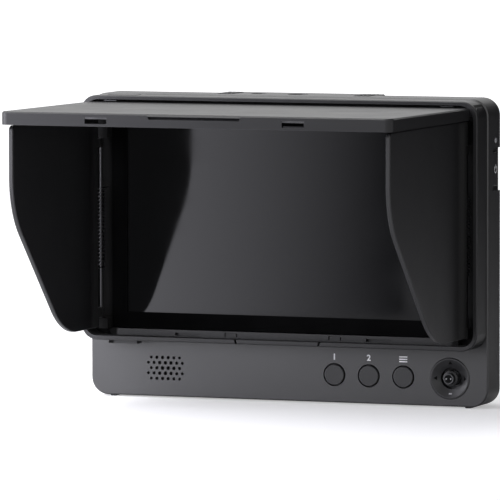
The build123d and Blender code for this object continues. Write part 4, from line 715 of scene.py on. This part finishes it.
# ---- battery plate ----------------------------------------------------------
# A moulded plate with four hooks and gold-plated blades, set in the bay of the back cover, and a
# sprung latch of the same plastic above it.
dress(finished("plate_plastic", (0.03, 0.03, 0.032, 1), (0.13, 0.13, 0.13, 1), 0.5), "battery_plate",
      "battery_latch")
dress(finished("gold_plate", (0.80, 0.58, 0.25, 1), (0.9, 0.75, 0.45, 1), 0.25, metallic=1.0, bump=0.05,
               dust=0.02), "battery_contacts")


# ---- case screws ------------------------------------------------------------
# Blackened steel screws with a cross recess, countersunk in the corners of the back cover, that
# hold the two shells together.
screw_black = finished("screw_black", (0.06, 0.06, 0.065, 1), (0.45, 0.45, 0.46, 1), 0.35, metallic=1.0)
dress(screw_black, "case_screws")

SCREW_HEAD = 1.6 * MM
SCREW_EASE = 0.15 * MM
SCREW_STEPS = ((1.6, 0.15), (1.6, 0.7), (0.8, 0.7), (0.8, 6.2), (0.5, 6.6))
CROSS_HALF = 0.8 * MM
CROSS_DEPTH = 0.45 * MM
CROSS_TAPER = 0.7


def within_cross(verts):
    """Whether all these points lie in the square that holds the cross."""
    return all(max(abs(vert.co.x), abs(vert.co.y)) <= CROSS_HALF for vert in verts)


def cross_screw(place):
    """The mesh of one screw: a countersunk head, a cross sunk in it, and the shank under it."""
    bm = bmesh.new()
    radius, depth = SCREW_HEAD - SCREW_EASE, 0.0
    rim = bmesh.ops.create_circle(bm, segments=24, radius=radius)["verts"]
    rim_edges = list({edge for vert in rim for edge in vert.link_edges})
    bmesh.ops.create_grid(bm, x_segments=3, y_segments=3, size=CROSS_HALF)
    middles = [(face, face.calc_center_median()) for face in bm.faces]
    corners = [face for face, middle in middles if min(abs(middle.x), abs(middle.y)) > CROSS_HALF / 3]
    bmesh.ops.delete(bm, geom=corners, context="FACES")
    bmesh.ops.bridge_loops(bm, edges=rim_edges + [edge for edge in bm.edges if edge.is_boundary])
    cross = [face for face in bm.faces if within_cross(face.verts)]
    sunk = bmesh.ops.extrude_face_region(bm, geom=cross)["geom"]
    floor = [vert for vert in sunk if isinstance(vert, bmesh.types.BMVert)]
    bmesh.ops.delete(bm, geom=cross, context="FACES_ONLY")
    bmesh.ops.translate(bm, verts=floor, vec=(0, 0, -CROSS_DEPTH))
    bmesh.ops.scale(bm, verts=floor, vec=(CROSS_TAPER, CROSS_TAPER, 1))
    loop = [edge for edge in bm.edges if edge.is_boundary]
    for next_radius, next_depth in SCREW_STEPS:
        grown = bmesh.ops.extrude_edge_only(bm, edges=loop)["geom"]
        moved = [vert for vert in grown if isinstance(vert, bmesh.types.BMVert)]
        share = next_radius * MM / radius
        bmesh.ops.scale(bm, verts=moved, vec=(share, share, 1))
        bmesh.ops.translate(bm, verts=moved, vec=(0, 0, depth - next_depth * MM))
        loop = loop_edges(grown)
        radius, depth = next_radius * MM, next_depth * MM
    bmesh.ops.contextual_create(bm, geom=loop)
    bmesh.ops.transform(bm, matrix=place, verts=bm.verts)
    mesh = bpy.data.meshes.new("screw")
    bm.to_mesh(mesh)
    bm.free()
    return mesh


screw_low, screw_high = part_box("case_screws")
bm = bmesh.new()
for x in (screw_low[0] + SCREW_HEAD, screw_high[0] - SCREW_HEAD):
    for z in (screw_low[2] + SCREW_HEAD, screw_high[2] - SCREW_HEAD):
        single = cross_screw(facing(Vector((x, screw_high[1], z)), Vector((-1, 0, 0)), Vector((0, 0, 1))))
        bm.from_mesh(single)
        bpy.data.meshes.remove(single)
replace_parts(as_piece("cross_screws", bm, screw_black, "monitor", 25), "case_screws")


# ---- hood -------------------------------------------------------------------
# The hood's frame, lid and flaps are moulded in the same black, with a finer texture; the frame and flaps are
# painted matt black as painted shade where they shut against each other. Pins, coils and catches are
# blackened steel.
HOOD_BLACK = (0.016, 0.016, 0.017, 1)
HOOD_WORN = (0.05, 0.05, 0.052, 1)
HOOD_ROUGH = 0.38
HOOD_GRAIN = {"rough_change": 0.03, "cells": 4200.0}
# Painted shade: the inner side walls of the frame and flaps and the roof of the gap under the lid are painted
# black where shade falls.
HINGE_SHADE_BLACK = (0.002, 0.002, 0.002, 1)
SHADE_SIDE_STRIP = (53.5 * MM, 54.5 * MM)
SHADE_ROOF_STRIP = (85.0 * MM, 86.2 * MM)
OUTER_SIDE = (62.75 * MM, 62.65 * MM)
OUTER_ROOF = (91.15 * MM, 91.05 * MM)
FRAME_SHADE_DEPTHS = (-17.6 * MM, -16.6 * MM)
FLAP_SHADE_DEPTHS = (-30.0 * MM, -18.0 * MM)


def ramp(tree, limits):
    """A mask that goes from 0 to 1 between two limits."""
    return put(tree, "MapRange", {"From Min": limits[0], "From Max": limits[1]})


# A mask of painted shade over the inner side walls and roof of the hood, behind a given depth, where the
# flaps and lid shade them.
hinge_shade_group, given, found = effect_group(
    "painted_hinge_shade",
    [("Place", "Vector", None), ("Front", "Float", 0.0), ("Back", "Float", 0.0)],
    [("Mask", "Float")])
split = put(hinge_shade_group, "SeparateXYZ")
inward = put(hinge_shade_group, "MapRange")
outward = put(hinge_shade_group, "Math", operation="ABSOLUTE")
side_strip = ramp(hinge_shade_group, SHADE_SIDE_STRIP)
roof_strip = ramp(hinge_shade_group, SHADE_ROOF_STRIP)
either = put(hinge_shade_group, "Math", operation="MAXIMUM")
both = put(hinge_shade_group, "Math", operation="MULTIPLY")
within_side = ramp(hinge_shade_group, OUTER_SIDE)
within_roof = ramp(hinge_shade_group, OUTER_ROOF)
within = put(hinge_shade_group, "Math", operation="MULTIPLY")
kept = put(hinge_shade_group, "Math", operation="MULTIPLY")
wire(hinge_shade_group, given, "Place", split, "Vector")
wire(hinge_shade_group, split, "Y", inward, "Value")
wire(hinge_shade_group, given, "Front", inward, "From Min")
wire(hinge_shade_group, given, "Back", inward, "From Max")
wire(hinge_shade_group, split, "X", outward, 0)
wire(hinge_shade_group, outward, "Value", side_strip, "Value")
wire(hinge_shade_group, split, "Z", roof_strip, "Value")
wire(hinge_shade_group, side_strip, "Result", either, 0)
wire(hinge_shade_group, roof_strip, "Result", either, 1)
wire(hinge_shade_group, inward, "Result", both, 0)
wire(hinge_shade_group, either, "Value", both, 1)
wire(hinge_shade_group, outward, "Value", within_side, "Value")
wire(hinge_shade_group, split, "Z", within_roof, "Value")
wire(hinge_shade_group, within_side, "Result", within, 0)
wire(hinge_shade_group, within_roof, "Result", within, 1)
wire(hinge_shade_group, both, "Value", kept, 0)
wire(hinge_shade_group, within, "Value", kept, 1)
wire(hinge_shade_group, kept, "Value", found, "Mask")


def paint_hinge_shade(material, depths):
    """Paints shade on the hinge side of a moulding: matt black between two depths."""
    tree = material.node_tree
    shader = tree.nodes["Principled BSDF"]
    deep = apply_group(tree, hinge_shade_group, put(tree, "TexCoord"), Front=depths[0], Back=depths[1])
    base = shader.inputs["Base Color"].links[0].from_node
    rough = shader.inputs["Roughness"].links[0].from_node
    base = mix_colour(tree, deep, "Mask", base, HINGE_SHADE_BLACK)
    tree.links.new(next(s for s in base.outputs if s.type == "RGBA"), shader.inputs["Base Color"])
    most = put(tree, "Math", operation="MAXIMUM")
    wire(tree, rough, "Result", most, 0)
    wire(tree, deep, "Mask", most, 1)
    wire(tree, most, "Value", shader, "Roughness")
    return material


frame_plastic = finished("hood_frame_moulding", HOOD_BLACK, HOOD_WORN, HOOD_ROUGH, ior=1.42, **HOOD_GRAIN)
flap_plastic = finished("flap_moulding", HOOD_BLACK, HOOD_WORN, HOOD_ROUGH, ior=1.5, wear=0.15, **HOOD_GRAIN)
lid_plastic = finished("lid_moulding", HOOD_BLACK, HOOD_WORN, HOOD_ROUGH, ior=1.38, **HOOD_GRAIN)
# The frame and flaps get painted shade on their hinge side.
dress(paint_hinge_shade(frame_plastic, FRAME_SHADE_DEPTHS), "hood_frame", "hood_clips")
dress(paint_hinge_shade(flap_plastic, FLAP_SHADE_DEPTHS), "left_flap", "right_flap")
dress(lid_plastic, "hood_lid")

spring_steel = finished("spring_steel", (0.05, 0.05, 0.052, 1), (0.16, 0.16, 0.165, 1), 0.34, metallic=1.0,
                        cells=1500.0, bump=0.05, dust=0.0)
catch_steel = finished("catch_steel", (0.05, 0.05, 0.052, 1), (0.3, 0.3, 0.3, 1), 0.4, metallic=1.0, dust=0.0)
dress(catch_steel, "lid_catches")
dress(spring_steel, "lid_hinge_pins", "lid_leaf_springs", "left_flap_pin", "right_flap_pin",
      "left_flap_spring", "right_flap_spring", "latch_spring")

WIRE = 0.2 * MM
WIRE_SIDES = 8
COIL_RADIUS = 0.88 * MM
COIL_TURNS = 21
COIL_STEPS = 20
LATCH_TURNS = 5


def lengthened(bm, edges, reach):
    """Draws an open end of wire straight on, and returns its new end."""
    grown = bmesh.ops.extrude_edge_only(bm, edges=edges)["geom"]
    bmesh.ops.translate(bm, verts=[v for v in grown if isinstance(v, bmesh.types.BMVert)], vec=reach)
    return loop_edges(grown)


def coil_spring(name, node, axis, hand, turns, legs, body):
    """A close coil of round steel wire, with straight legs where the flap and the web take it."""
    low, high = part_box(node)
    bottom, top = low[2] + WIRE, high[2] - WIRE
    start = Vector((axis.x + hand * COIL_RADIUS, axis.y - legs[0], bottom))
    bm = bmesh.new()
    bmesh.ops.create_circle(bm, segments=WIRE_SIDES, radius=WIRE,
                            matrix=Matrix.Translation(start) @ Matrix.Rotation(math.pi / 2, 4, "X"))
    end = list(bm.edges)
    if legs[0]:
        end = lengthened(bm, end, (0, legs[0], 0))
    end = wind(bm, end, axis, hand, turns, (top - bottom) / turns, COIL_STEPS)
    if legs[1]:
        lengthened(bm, end, (0, legs[1], 0))
    bmesh.ops.holes_fill(bm, edges=[edge for edge in bm.edges if edge.is_boundary])
    piece = as_piece(name, bm, spring_steel, body)
    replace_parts(piece, node)
    return piece


for side, hand in (("left", 1), ("right", -1)):
    axis = centre_of(side + "_flap_pin")
    low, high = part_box(side + "_flap_spring")
    coil_spring(side + "_coil", side + "_flap_spring", axis, hand, COIL_TURNS,
                (axis.y - low[1], high[1] - axis.y), "hood")
seat = centre_of("latch_spring")
latch_coil = coil_spring("latch_coil", "latch_spring", seat, 1, LATCH_TURNS, (0, 0), "monitor")
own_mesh(latch_coil)
